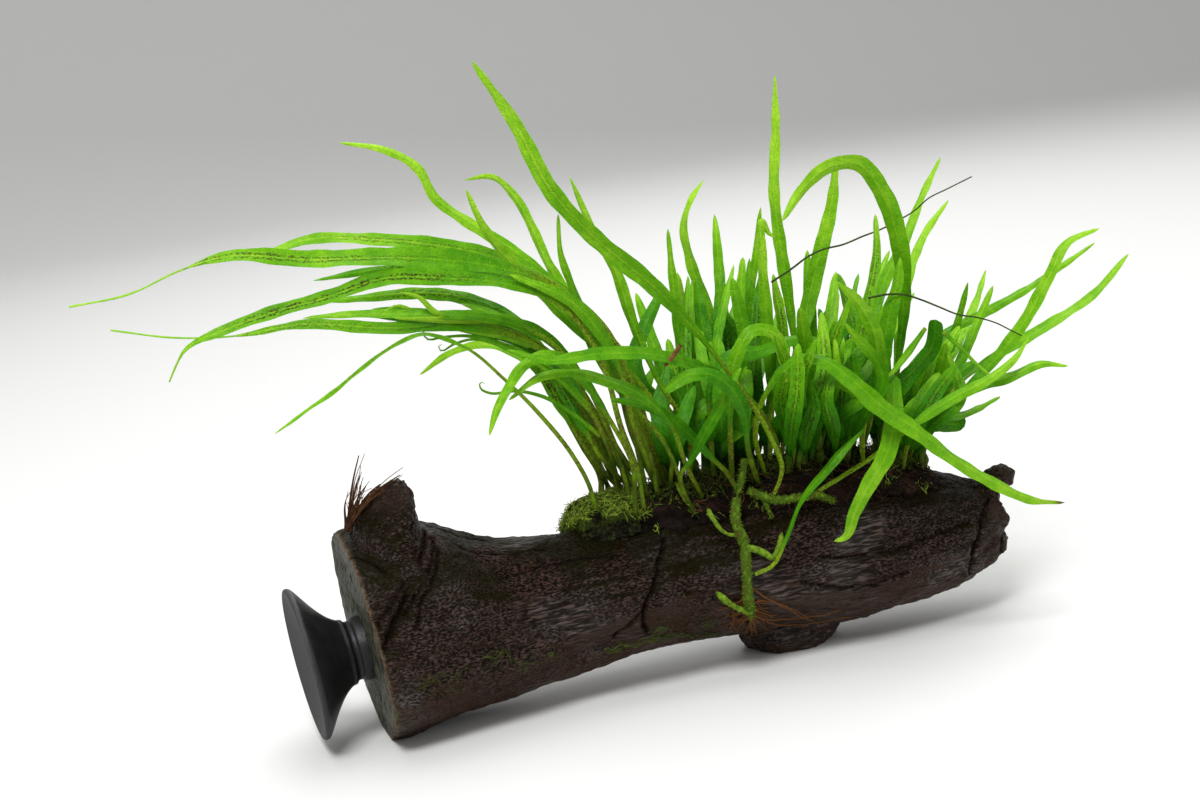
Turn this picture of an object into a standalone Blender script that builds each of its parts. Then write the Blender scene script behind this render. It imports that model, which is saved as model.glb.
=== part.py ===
"""A narrow-leaved java fern grown on a short piece of driftwood.

The wood lies along X, sawn off at the left, where a rubber suction cup is pressed against it, and broken at
the right. It rests on two places: a worn flat under the sawn end and the flat foot of a short stub. A felt of
roots and a cushion of moss hold the fern on top. Lengths are in millimetres until a mesh is made.

Shapes are laid out as seen from one viewpoint, a little to the left of the front and a little above, which
looks at the middle of the plant. A place in that view is given by millimetres to the right and up of its
centre, and a depth, the distance behind the wood's own middle plane.
"""

from __future__ import annotations

import math
from dataclasses import dataclass, replace

import bmesh
import bpy
import numpy as np

MM = 0.001
GAP = 0.3

# The floor below the middle of the whole plant, which becomes the origin.
ORIGIN = np.array([22.0, 8.0, 0.0])

VIEW_DISTANCE = 653.0
VIEW_TURN = math.radians(15.5)
VIEW_RISE = math.radians(12.0)
VIEW_ROLL = math.radians(7.2)
VIEW_CENTRE = np.array([0.0, 0.0, 82.5])

# The wood's outline: distance along it, underside, upper side and half of its depth.
WOOD_OUTLINE = (
    (-80, -1.2, 58.6, 28.6),
    (-70, -1.0, 58.0, 28.6),
    (-60, 0.7, 57.0, 27.0),
    (-52, 2.1, 55.2, 25.4),
    (-44, 3.0, 51.6, 23.6),
    (-36, 4.2, 48.4, 22.0),
    (-27, 5.8, 47.2, 20.9),
    (-14, 7.6, 46.4, 19.9),
    (0, 8.8, 46.2, 19.4),
    (12, 9.2, 48.0, 19.9),
    (26, 9.2, 49.8, 20.6),
    (40, 8.2, 51.1, 21.5),
    (54, 6.4, 51.3, 22.0),
    (68, 4.7, 50.2, 21.8),
    (80, 5.4, 47.8, 20.6),
    (92, 6.3, 44.8, 18.4),
    (103, 8.8, 40.4, 15.6),
    (111, 12.2, 37.0, 12.8),
    (117, 16.0, 34.9, 10.2),
    (122, 22.0, 32.2, 7.0),
    (126, 24.0, 31.0, 5.0),
)
SAWN_END_X = -75.8
SAWN_END_SLOPE = -0.09
SAWN_END_MIDDLE = 28.5
BROKEN_END_X = 118.0
BROKEN_END_SLANT = 3.2
BROKEN_END_JAG = 0.9
BROKEN_END_HOLLOW = 0.9
WOOD_RINGS = 25
WOOD_SIDES = 24

# The felt of roots, with the moss at its left end: distance along the wood, middle height, half height and
# half of its depth.
CUSHION_OUTLINE = (
    (-15, 44.5, 3.0, 6.0),
    (-11, 45.0, 7.2, 11.0),
    (-6, 45.5, 9.2, 13.0),
    (2, 45.5, 9.4, 14.0),
    (10, 45.5, 8.6, 14.5),
    (20, 46.0, 7.8, 15.0),
    (30, 46.4, 7.8, 15.5),
    (45, 46.6, 8.8, 16.2),
    (60, 46.4, 8.9, 16.4),
    (74, 45.2, 8.3, 15.6),
    (84, 43.2, 7.4, 14.0),
    (92, 41.4, 5.6, 11.0),
    (97, 40.0, 3.4, 7.0),
)
MOSS_END_X = 5.0
CUSHION_SIDES = 18

CUP_CENTRE = np.array([-93.4, 0.0, 24.4])
CUP_TILT = math.radians(4.8)
CUP_RADIUS = 21.5
CUP_FACE_RADIUS = 19.6
CUP_SIDES = 28
CUP_DISH = 3.4
# From the dish over the rim and down the flared cone to the grooved neck: distance behind the rim and radius.
CUP_PROFILE = (
    (2.9, 8.0),
    (1.6, 14.5),
    (0.0, CUP_FACE_RADIUS),
    (0.0, CUP_RADIUS - 0.4),
    (0.5, CUP_RADIUS),
    (1.8, CUP_RADIUS - 0.3),
    (3.6, 18.6),
    (5.8, 15.2),
    (9.0, 11.3),
    (11.8, 9.2),
    (13.2, 8.9),
    (13.8, 8.2),
    (14.6, 8.2),
    (15.2, 8.9),
    (21.0, 8.9),
)

# How far the middle of each thin piece lies off the wood or the felt.
CREEPING_LIFT = 1.7
SPRIG_LIFT = 1.3
HANGING_LIFT = 2.6
ROOT_LIFT = 2.4
LEAF_FOOT_LIFT = 1.9
FIBRE_DEPTH = -6.0

LEAF_SEGMENTS = 8
LEAF_SAMPLES = 40
LEAF_THICKNESS = 0.9
STALK_WIDTH = 1.3
FOOT_GAP = 0.8
LEAF_CLEARANCE = 0.5
# A leaf's depth changes slowly near its foot: it follows this power of the part of its length.
DEPTH_POWER = 1.3
BOWS = (0, 2, -2, 4, -4, 6, -6, 8, -8, 11, -11, 14, -14, 18, -18)
DRIFTS = (0, 3, -3, 6, -6, 10, -10, 15, -15)
# The samples of a shoot's leaf that lie in its bud, where the leaves may touch.
BUD_SAMPLES = 6
SHOOT_LEAF_SEGMENTS = 7


def turned_view() -> tuple[np.ndarray, np.ndarray, np.ndarray]:
    """The view's right, up and ahead directions."""
    turn, rise, roll = VIEW_TURN, VIEW_RISE, VIEW_ROLL
    level = np.array([math.cos(turn), -math.sin(turn), 0.0])
    upright = np.array([math.sin(turn) * math.sin(rise), math.cos(turn) * math.sin(rise), math.cos(rise)])
    ahead = np.array([math.sin(turn) * math.cos(rise), math.cos(turn) * math.cos(rise), -math.sin(rise)])
    right = level * math.cos(roll) - upright * math.sin(roll)
    up = level * math.sin(roll) + upright * math.cos(roll)
    return right, up, ahead


RIGHT, UP, AHEAD = turned_view()
EYE = VIEW_CENTRE - VIEW_DISTANCE * AHEAD


def seen(right, up, depth) -> np.ndarray:
    """The place at a depth behind the wood's middle plane that is seen at right and up of the centre."""
    right, up, depth = np.broadcast_arrays(*(np.asarray(value, float) for value in (right, up, depth)))
    ray = right[..., None] * RIGHT + up[..., None] * UP + VIEW_DISTANCE * AHEAD
    return EYE + ray * ((depth - EYE[1]) / ray[..., 1])[..., None]


def smooth_line(points, count: int) -> np.ndarray:
    """Evenly spaced points along a smooth curve through the given ones."""
    points = np.asarray(points, float)
    reach = np.append(0.0, np.cumsum(np.linalg.norm(np.diff(points, axis=0), axis=1)))
    slopes = np.gradient(points, reach, axis=0)
    along = np.linspace(0.0, reach[-1], 16 * len(points))
    start = np.clip(np.searchsorted(reach, along, side="right") - 1, 0, len(points) - 2)
    span = (reach[start + 1] - reach[start])[:, None]
    part = (along - reach[start])[:, None] / span
    line = (
        (2 * part**3 - 3 * part**2 + 1) * points[start]
        + (part**3 - 2 * part**2 + part) * span * slopes[start]
        + (3 * part**2 - 2 * part**3) * points[start + 1]
        + (part**3 - part**2) * span * slopes[start + 1]
    )
    length = np.append(0.0, np.cumsum(np.linalg.norm(np.diff(line, axis=0), axis=1)))
    even = np.linspace(0.0, length[-1], count)
    return np.column_stack([np.interp(even, length, column) for column in line.T])


WOOD_CURVE = smooth_line(WOOD_OUTLINE, 240)
CUSHION_CURVE = smooth_line(CUSHION_OUTLINE, 160)


def wood_section(x) -> tuple[np.ndarray, np.ndarray, np.ndarray]:
    """Middle height, half height and half depth of the wood at x."""
    low, high, half_depth = (np.interp(x, WOOD_CURVE[:, 0], WOOD_CURVE[:, column]) for column in (1, 2, 3))
    return (low + high) / 2, (high - low) / 2, half_depth


def bark_relief(x, angle) -> np.ndarray:
    """Height of the long ridges, furrows and two knots of the bark. The angle turns up from the front."""
    waves = 0.55 * np.sin(5 * angle + 0.045 * x + 0.8) + 0.4 * np.sin(8 * angle - 0.07 * x + 2.0)
    swell = 0.45 * np.sin(0.11 * x + 2 * angle) * np.cos(angle) ** 2
    knots = 2.2 * np.exp(-(((x + 57) / 9) ** 2) - ((angle - 0.75) / 0.5) ** 2)
    knots = knots + 1.5 * np.exp(-(((x - 96) / 8) ** 2) - ((angle + 0.2) / 0.5) ** 2)
    crack = -1.2 * np.exp(-(((x - 13 - 3 * angle) / 1.8) ** 2) - ((angle - 0.1) / 0.8) ** 2)
    return waves + swell + knots + crack


def wood_surface(x, angle, grow: float = 0.0) -> np.ndarray:
    """Points of the bark at x and the angle round the wood, moved out by grow."""
    middle, half_height, half_depth = wood_section(x)
    extra = bark_relief(x, angle) + grow
    depth = -(half_depth + extra) * np.cos(angle)
    height = middle + (half_height + extra) * np.sin(angle)
    return np.stack(np.broadcast_arrays(x, depth, height), axis=-1)


def cushion_surface(x, angle) -> np.ndarray:
    """Points of the root felt and moss at x and the angle round their section."""
    middle, half_height, half_depth = (
        np.interp(x, CUSHION_CURVE[:, 0], CUSHION_CURVE[:, column]) for column in (1, 2, 3)
    )
    lumps = 0.5 * np.sin(0.55 * x + 3 * angle) + 0.4 * np.sin(0.31 * x - 4 * angle + 1.0)
    depth = -(half_depth + lumps) * np.cos(angle)
    height = middle + (half_height + lumps) * np.sin(angle)
    return np.stack(np.broadcast_arrays(x, depth, height), axis=-1)


def cushion_top(x: float, depth: float) -> float:
    """Height of the felt or moss at x and a depth."""
    angles = np.linspace(0.0, math.pi, 181)
    rim = cushion_surface(np.full(181, x), angles)
    return float(np.interp(depth, rim[:, 1], rim[:, 2]))


def section_excess(points: np.ndarray) -> np.ndarray:
    """How far points lie outside the wood and the felt, roughly, in millimetres."""
    middle, half_height, half_depth = wood_section(points[:, 0])
    reach = np.hypot(points[:, 1] / half_depth, (points[:, 2] - middle) / half_height)
    from_wood = (reach - 1.0) * np.minimum(half_height, half_depth)
    middle, half_height, half_depth = (
        np.interp(points[:, 0], CUSHION_CURVE[:, 0], CUSHION_CURVE[:, column]) for column in (1, 2, 3)
    )
    reach = np.hypot(points[:, 1] / half_depth, (points[:, 2] - middle) / half_height)
    inside = (points[:, 0] > CUSHION_OUTLINE[0][0]) & (points[:, 0] < CUSHION_OUTLINE[-1][0])
    from_felt = np.where(inside, (reach - 1.0) * np.minimum(half_height, half_depth), np.inf)
    return np.minimum(from_wood, from_felt)


def resting_depth(right: float, up: float, lift: float) -> float:
    """Depth of the first place on a sight line that lies no more than lift off the wood or the felt."""
    depths = np.linspace(-60.0, 5.0, 261)
    near = section_excess(seen(right, up, depths)) <= lift
    return float(depths[np.argmax(near)]) if near.any() else -lift


@dataclass
class Finish:
    """A plain finish for a solid."""

    name: str
    colour: tuple[float, float, float]
    roughness: float

    def material(self) -> bpy.types.Material:
        found = bpy.data.materials.get(self.name)
        if found:
            return found
        made = bpy.data.materials.new(self.name)
        made.use_nodes = True
        shader = made.node_tree.nodes["Principled BSDF"]
        shader.inputs["Base Color"].default_value = (*self.colour, 1.0)
        shader.inputs["Roughness"].default_value = self.roughness
        shader.inputs["Metallic"].default_value = 0.0
        return made


WET_BARK = Finish("wet_bark", (0.035, 0.022, 0.016), 0.35)
RUBBER = Finish("black_rubber", (0.02, 0.02, 0.022), 0.55)
LEAF_GREEN = Finish("leaf_green", (0.16, 0.42, 0.04), 0.4)
YOUNG_GREEN = Finish("young_green", (0.3, 0.6, 0.06), 0.4)
MOSS_GREEN = Finish("moss_green", (0.14, 0.26, 0.03), 0.9)
ROOT_BROWN = Finish("root_brown", (0.16, 0.06, 0.025), 0.8)
RHIZOME_GREEN = Finish("rhizome_green", (0.16, 0.3, 0.05), 0.7)


def make_object(name: str, points: np.ndarray, faces: list, finish: Finish) -> bpy.types.Object:
    """An object whose mesh has the given millimetre points and faces, all turned outwards."""
    mesh = bpy.data.meshes.new(name)
    mesh.from_pydata(((np.asarray(points, float) - ORIGIN) * MM).tolist(), [], faces)
    work = bmesh.new()
    work.from_mesh(mesh)
    bmesh.ops.remove_doubles(work, verts=work.verts, dist=1e-6)
    bmesh.ops.recalc_face_normals(work, faces=work.faces)
    work.to_mesh(mesh)
    work.free()
    mesh.shade_smooth()
    mesh.set_sharp_from_angle(angle=math.radians(50))
    mesh.materials.append(finish.material())
    made = bpy.data.objects.new(name, mesh)
    bpy.context.scene.collection.objects.link(made)
    return made


def make_helper(piece: bpy.types.Object) -> bpy.types.Object:
    """Marks an object as a cutter, which isn't part of the model."""
    piece.hide_render = True
    piece.display_type = "WIRE"
    return piece


def tube_faces(rings: int, sides: int, closed_ends: bool = True) -> list:
    """Quads between rings of sides points, laid one after another, and one face over each end."""
    faces = [
        (
            ring * sides + side,
            ring * sides + (side + 1) % sides,
            (ring + 1) * sides + (side + 1) % sides,
            (ring + 1) * sides + side,
        )
        for ring in range(rings - 1)
        for side in range(sides)
    ]
    if closed_ends:
        faces.append(tuple(range(sides))[::-1])
        faces.append(tuple((rings - 1) * sides + side for side in range(sides)))
    return faces


def boolean(piece: bpy.types.Object, other: bpy.types.Object, operation: str) -> None:
    """Adds an exact Boolean with another object."""
    step = piece.modifiers.new(f"{operation.lower()}_{other.name}", "BOOLEAN")
    step.object = other
    step.operation = operation
    step.solver = "EXACT"


def joined(name: str, parts: list, finish: Finish) -> bpy.types.Object:
    """One closed body from overlapping parts, each a pair of points and faces."""
    first = make_object(name, *parts[0], finish)
    for number, (points, faces) in enumerate(parts[1:], 1):
        boolean(first, make_helper(make_object(f"{name}_join_{number}", points, faces, finish)), "UNION")
    return first


def frames_along(line: np.ndarray) -> tuple[np.ndarray, np.ndarray]:
    """The directions across and along the view that are square to a line, at each of its points."""
    tangent = np.gradient(line, axis=0)
    tangent /= np.linalg.norm(tangent, axis=1)[:, None]
    across = np.cross(tangent, line - EYE)
    across /= np.linalg.norm(across, axis=1)[:, None]
    return across, np.cross(across, tangent)


def strand(line: np.ndarray, radii: np.ndarray, sides: int) -> tuple[np.ndarray, list]:
    """A round tapering strand along a line, closed at both ends."""
    across, inward = frames_along(line)
    turn = np.linspace(0.0, 2 * math.pi, sides, endpoint=False)[None, :, None]
    rim = np.cos(turn) * across[:, None, :] + np.sin(turn) * inward[:, None, :]
    points = line[:, None, :] + rim * np.asarray(radii)[:, None, None]
    return points.reshape(-1, 3), tube_faces(len(line), sides)


def make_wood_mesh(name: str, grow: float) -> bpy.types.Object:
    """The wood as rings from the sawn face to the slanting broken end, with a rough cap there."""
    angle = np.linspace(0.0, 2 * math.pi, WOOD_SIDES, endpoint=False)[None, :]
    part = np.linspace(0.0, 1.0, WOOD_RINGS)[:, None]
    half_height = wood_section(SAWN_END_X)[1]
    left = SAWN_END_X - grow + SAWN_END_SLOPE * half_height * np.sin(angle)
    jag = BROKEN_END_JAG * (np.sin(4 * angle + 1.0) + 0.6 * np.sin(7 * angle))
    right = BROKEN_END_X + grow - BROKEN_END_SLANT * np.cos(angle) + jag
    x = left + (right - left) * part
    points = wood_surface(x, angle + 0 * part, grow)
    # The sawn face is one plane: its rim slides along X until it lies in it.
    points[0, :, 0] = SAWN_END_X - grow + SAWN_END_SLOPE * (points[0, :, 2] - SAWN_END_MIDDLE)
    points[..., 2] = np.maximum(points[..., 2], -grow)
    rim = points[-1]
    heart = rim.mean(axis=0)
    pit = BROKEN_END_HOLLOW * (np.sin(2 * angle[0] + 0.6) + 0.6 * np.sin(5 * angle[0] + 2.0))
    along = np.array([1.0, 0.0, 0.0])
    inner = heart + (rim - heart) * 0.55 + pit[:, None] * along
    rows = np.concatenate([points.reshape(-1, 3), inner, heart[None] + BROKEN_END_HOLLOW * along])
    faces = tube_faces(WOOD_RINGS + 1, WOOD_SIDES, closed_ends=False)
    faces.append(tuple(range(WOOD_SIDES))[::-1])
    last = WOOD_RINGS * WOOD_SIDES
    tip = last + WOOD_SIDES
    faces += [(last + side, last + (side + 1) % WOOD_SIDES, tip) for side in range(WOOD_SIDES)]
    return make_object(name, rows, faces, WET_BARK)


def make_stub(name: str, rings: tuple, sides: int, rough: float) -> bpy.types.Object:
    """A body of wood through level rings, each with its middle's x, depth and height and two half widths."""
    angle = np.linspace(0.0, 2 * math.pi, sides, endpoint=False)[None, :]
    x, depth, height, half_length, half_depth = (np.array(column)[:, None] for column in zip(*rings))
    ripple = 1.0 + rough * (np.sin(3 * angle + 0.35 * height) + 0.7 * np.sin(5 * angle - 0.2 * height))
    points = np.stack(
        [
            x + half_length * ripple * np.cos(angle),
            depth + half_depth * ripple * np.sin(angle),
            height + 0.0 * angle,
        ],
        axis=-1,
    )
    return make_object(name, points.reshape(-1, 3), tube_faces(len(rings), sides), WET_BARK)


def make_stubs(cutter: bpy.types.Object) -> None:
    """The broken fork above the sawn end, the foot below and the broken end's knob, fitted to the wood."""
    fork = (
        (-64.0, -2.0, 46.0, 10.0, 15.0),
        (-65.8, -2.0, 57.0, 10.9, 15.5),
        (-65.4, -2.0, 62.0, 8.9, 13.0),
        (-64.1, -2.5, 66.0, 6.9, 9.5),
        (-62.3, -3.0, 69.0, 4.7, 6.0),
        (-60.4, -3.0, 70.8, 2.0, 2.6),
    )
    boolean(make_stub("upper_fork_stub", fork, 18, 0.05), cutter, "DIFFERENCE")
    foot = (
        (49.5, 4.0, 0.0, 12.5, 10.5),
        (49.8, 4.0, 2.2, 14.4, 11.6),
        (50.2, 4.0, 6.0, 16.2, 12.4),
        (50.8, 4.0, 13.0, 18.0, 13.5),
    )
    boolean(make_stub("lower_stub", foot, 20, 0.035), cutter, "DIFFERENCE")
    route = smooth_line([(108, -1, 31.5), (114.5, -1, 35.2), (119.5, -1.5, 37.6), (123.6, -2, 38.8)], 7)
    radii = np.array([4.4, 4.6, 4.4, 3.9, 3.8, 3.6, 1.6])
    knob = make_object("right_prong", *strand(route, radii, 14), WET_BARK)
    boolean(knob, cutter, "DIFFERENCE")


def make_suction_cup(cutter: bpy.types.Object) -> None:
    """The rubber cup, turned about its axis: a flat rim, a shallow dish, a flared cone and a grooved neck."""
    axis = np.array([math.cos(CUP_TILT), 0.0, math.sin(CUP_TILT)])
    lift = np.array([-math.sin(CUP_TILT), 0.0, math.cos(CUP_TILT)])
    side = np.array([0.0, 1.0, 0.0])
    turn = np.linspace(0.0, 2 * math.pi, CUP_SIDES, endpoint=False)
    rim = np.cos(turn)[:, None] * side + np.sin(turn)[:, None] * lift
    behind, radius = (np.array(column)[:, None, None] for column in zip(*CUP_PROFILE))
    points = CUP_CENTRE + behind * axis + radius * rim
    points = np.concatenate([points.reshape(-1, 3), (CUP_CENTRE + CUP_DISH * axis)[None]])
    faces = tube_faces(len(CUP_PROFILE), CUP_SIDES, closed_ends=False)
    heart = len(points) - 1
    last = (len(CUP_PROFILE) - 1) * CUP_SIDES
    faces += [((number + 1) % CUP_SIDES, number, heart) for number in range(CUP_SIDES)]
    faces.append(tuple(last + number for number in range(CUP_SIDES)))
    boolean(make_object("suction_cup", points, faces, RUBBER), cutter, "DIFFERENCE")


def make_cushion_mesh(name: str, ends: tuple, rings: int, finish: Finish) -> bpy.types.Object:
    """The felt or moss between two places along the wood."""
    angle = np.linspace(0.0, 2 * math.pi, CUSHION_SIDES, endpoint=False)[None, :]
    x = np.linspace(*ends, rings)[:, None]
    points = cushion_surface(x + 0 * angle, angle + 0 * x)
    return make_object(name, points.reshape(-1, 3), tube_faces(rings, CUSHION_SIDES), finish)


def view_line(route: tuple, lift: float, count: int) -> np.ndarray:
    """A smooth line that lies on the wood and felt along places given in the view."""
    places = [seen(right, up, resting_depth(right, up, lift)) for right, up in route]
    return smooth_line(places, count)


def make_rhizomes() -> None:
    """The creeping rhizome on the felt's front, and the one down the wood with its shoots and roots."""
    creeping = ((41.5, -25.2), (45, -26.8), (50, -28), (56, -27.2), (61, -26.6), (66, -28.5))
    sprig = ((45.5, -27.0), (47.0, -30.5), (48.0, -33.0))
    parts = [
        strand(view_line(creeping, CREEPING_LIFT, 9), np.linspace(1.1, 0.75, 9), 8),
        strand(view_line(sprig, SPRIG_LIFT, 4), np.linspace(0.4, 0.15, 4), 4),
    ]
    joined("rhizome_creeping", parts, RHIZOME_GREEN)

    hanging = ((38.2, -27.5), (38, -34), (40.2, -39.5), (41, -47), (41.3, -54), (42.5, -61.3))
    girth = np.array([1.3, 1.4, 1.5, 1.6, 1.5, 1.5, 1.5, 1.6, 1.6, 0.9])
    parts = [strand(view_line(hanging, HANGING_LIFT, len(girth)), girth, 8)]
    shoots = (
        (((39.2, -37.8), (36, -37.6), (33.4, -35.8), (31.4, -33), (30.2, -30.4)), (0.6, 0.6, 0.7, 0.8, 1.0)),
        (((41, -41.2), (45, -42.3), (48.5, -44), (50.2, -40.5), (51, -37)), (1.0, 1.0, 0.9, 0.8, 0.8)),
        (((41.8, -59.6), (38, -58), (35, -56), (33.4, -54.6), (32.4, -53.6)), (0.8, 0.7, 0.7, 1.1, 0.6)),
    )
    for route, radii in shoots:
        parts.append(strand(view_line(route, HANGING_LIFT, len(radii)), np.array(radii), 6))
    roots = (
        ((42.3, -60.0), (46, -61.3), (52, -61.4), (60, -60.4), (68, -59.0)),
        ((41.5, -52.0), (46, -55), (52, -58), (58, -60.4)),
        ((41.3, -55.0), (38, -57.5), (37.2, -62), (37, -66)),
        ((42.3, -60.5), (43.2, -63), (43.4, -66.5)),
    )
    for route in roots:
        parts.append(strand(view_line(route, ROOT_LIFT, 6), np.linspace(0.45, 0.18, 6), 4))
    joined("rhizome_hanging", parts, RHIZOME_GREEN)


def make_fibre_tuft() -> None:
    """Brown fibres that stand up beside the fork, from a small knot of roots on the sawn end's upper edge."""
    knot = [(-77.0, FIBRE_DEPTH, 60.8), (-75.7, FIBRE_DEPTH, 62.8), (-74.2, FIBRE_DEPTH, 64.6)]
    parts = [strand(smooth_line(knot, 4), np.array([0.7, 1.1, 1.1, 0.6]), 6)]
    fibres = (
        ((-70.6, -36.0), (-70, -29), (-69, -22), (-67.5, -15.5)),
        ((-70.3, -35.0), (-69, -30.5), (-67.5, -27), (-65.5, -24)),
        ((-69.5, -34.0), (-67, -29.5), (-64.5, -26), (-61.5, -23.5)),
        ((-68.8, -33.0), (-65, -28), (-61, -24.3), (-56, -21)),
    )
    for route in fibres:
        places = [seen(right, up, FIBRE_DEPTH) for right, up in route]
        parts.append(strand(smooth_line(places, 5), np.linspace(0.55, 0.18, 5), 4))
    joined("fibre_tuft", parts, ROOT_BROWN)


@dataclass
class Leaf:
    """One leaf, laid out in the view.

    Its stalk's foot stands on the felt at a place (x, depth), or with no foot where the first of the points
    lies on the wood. The points are places in the view from foot to tip. The depth runs from the foot's to the
    tip's, with a bow between. The lean turns the blade's width out of the view's plane, at foot and tip, in
    degrees. The stalk is the part of the length that is bare of blade.
    """

    name: str
    width: float
    foot: tuple[float, float] | None
    tip_depth: float
    bow: float
    lean: tuple[float, float]
    points: tuple
    stalk: float = 0.2


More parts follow.
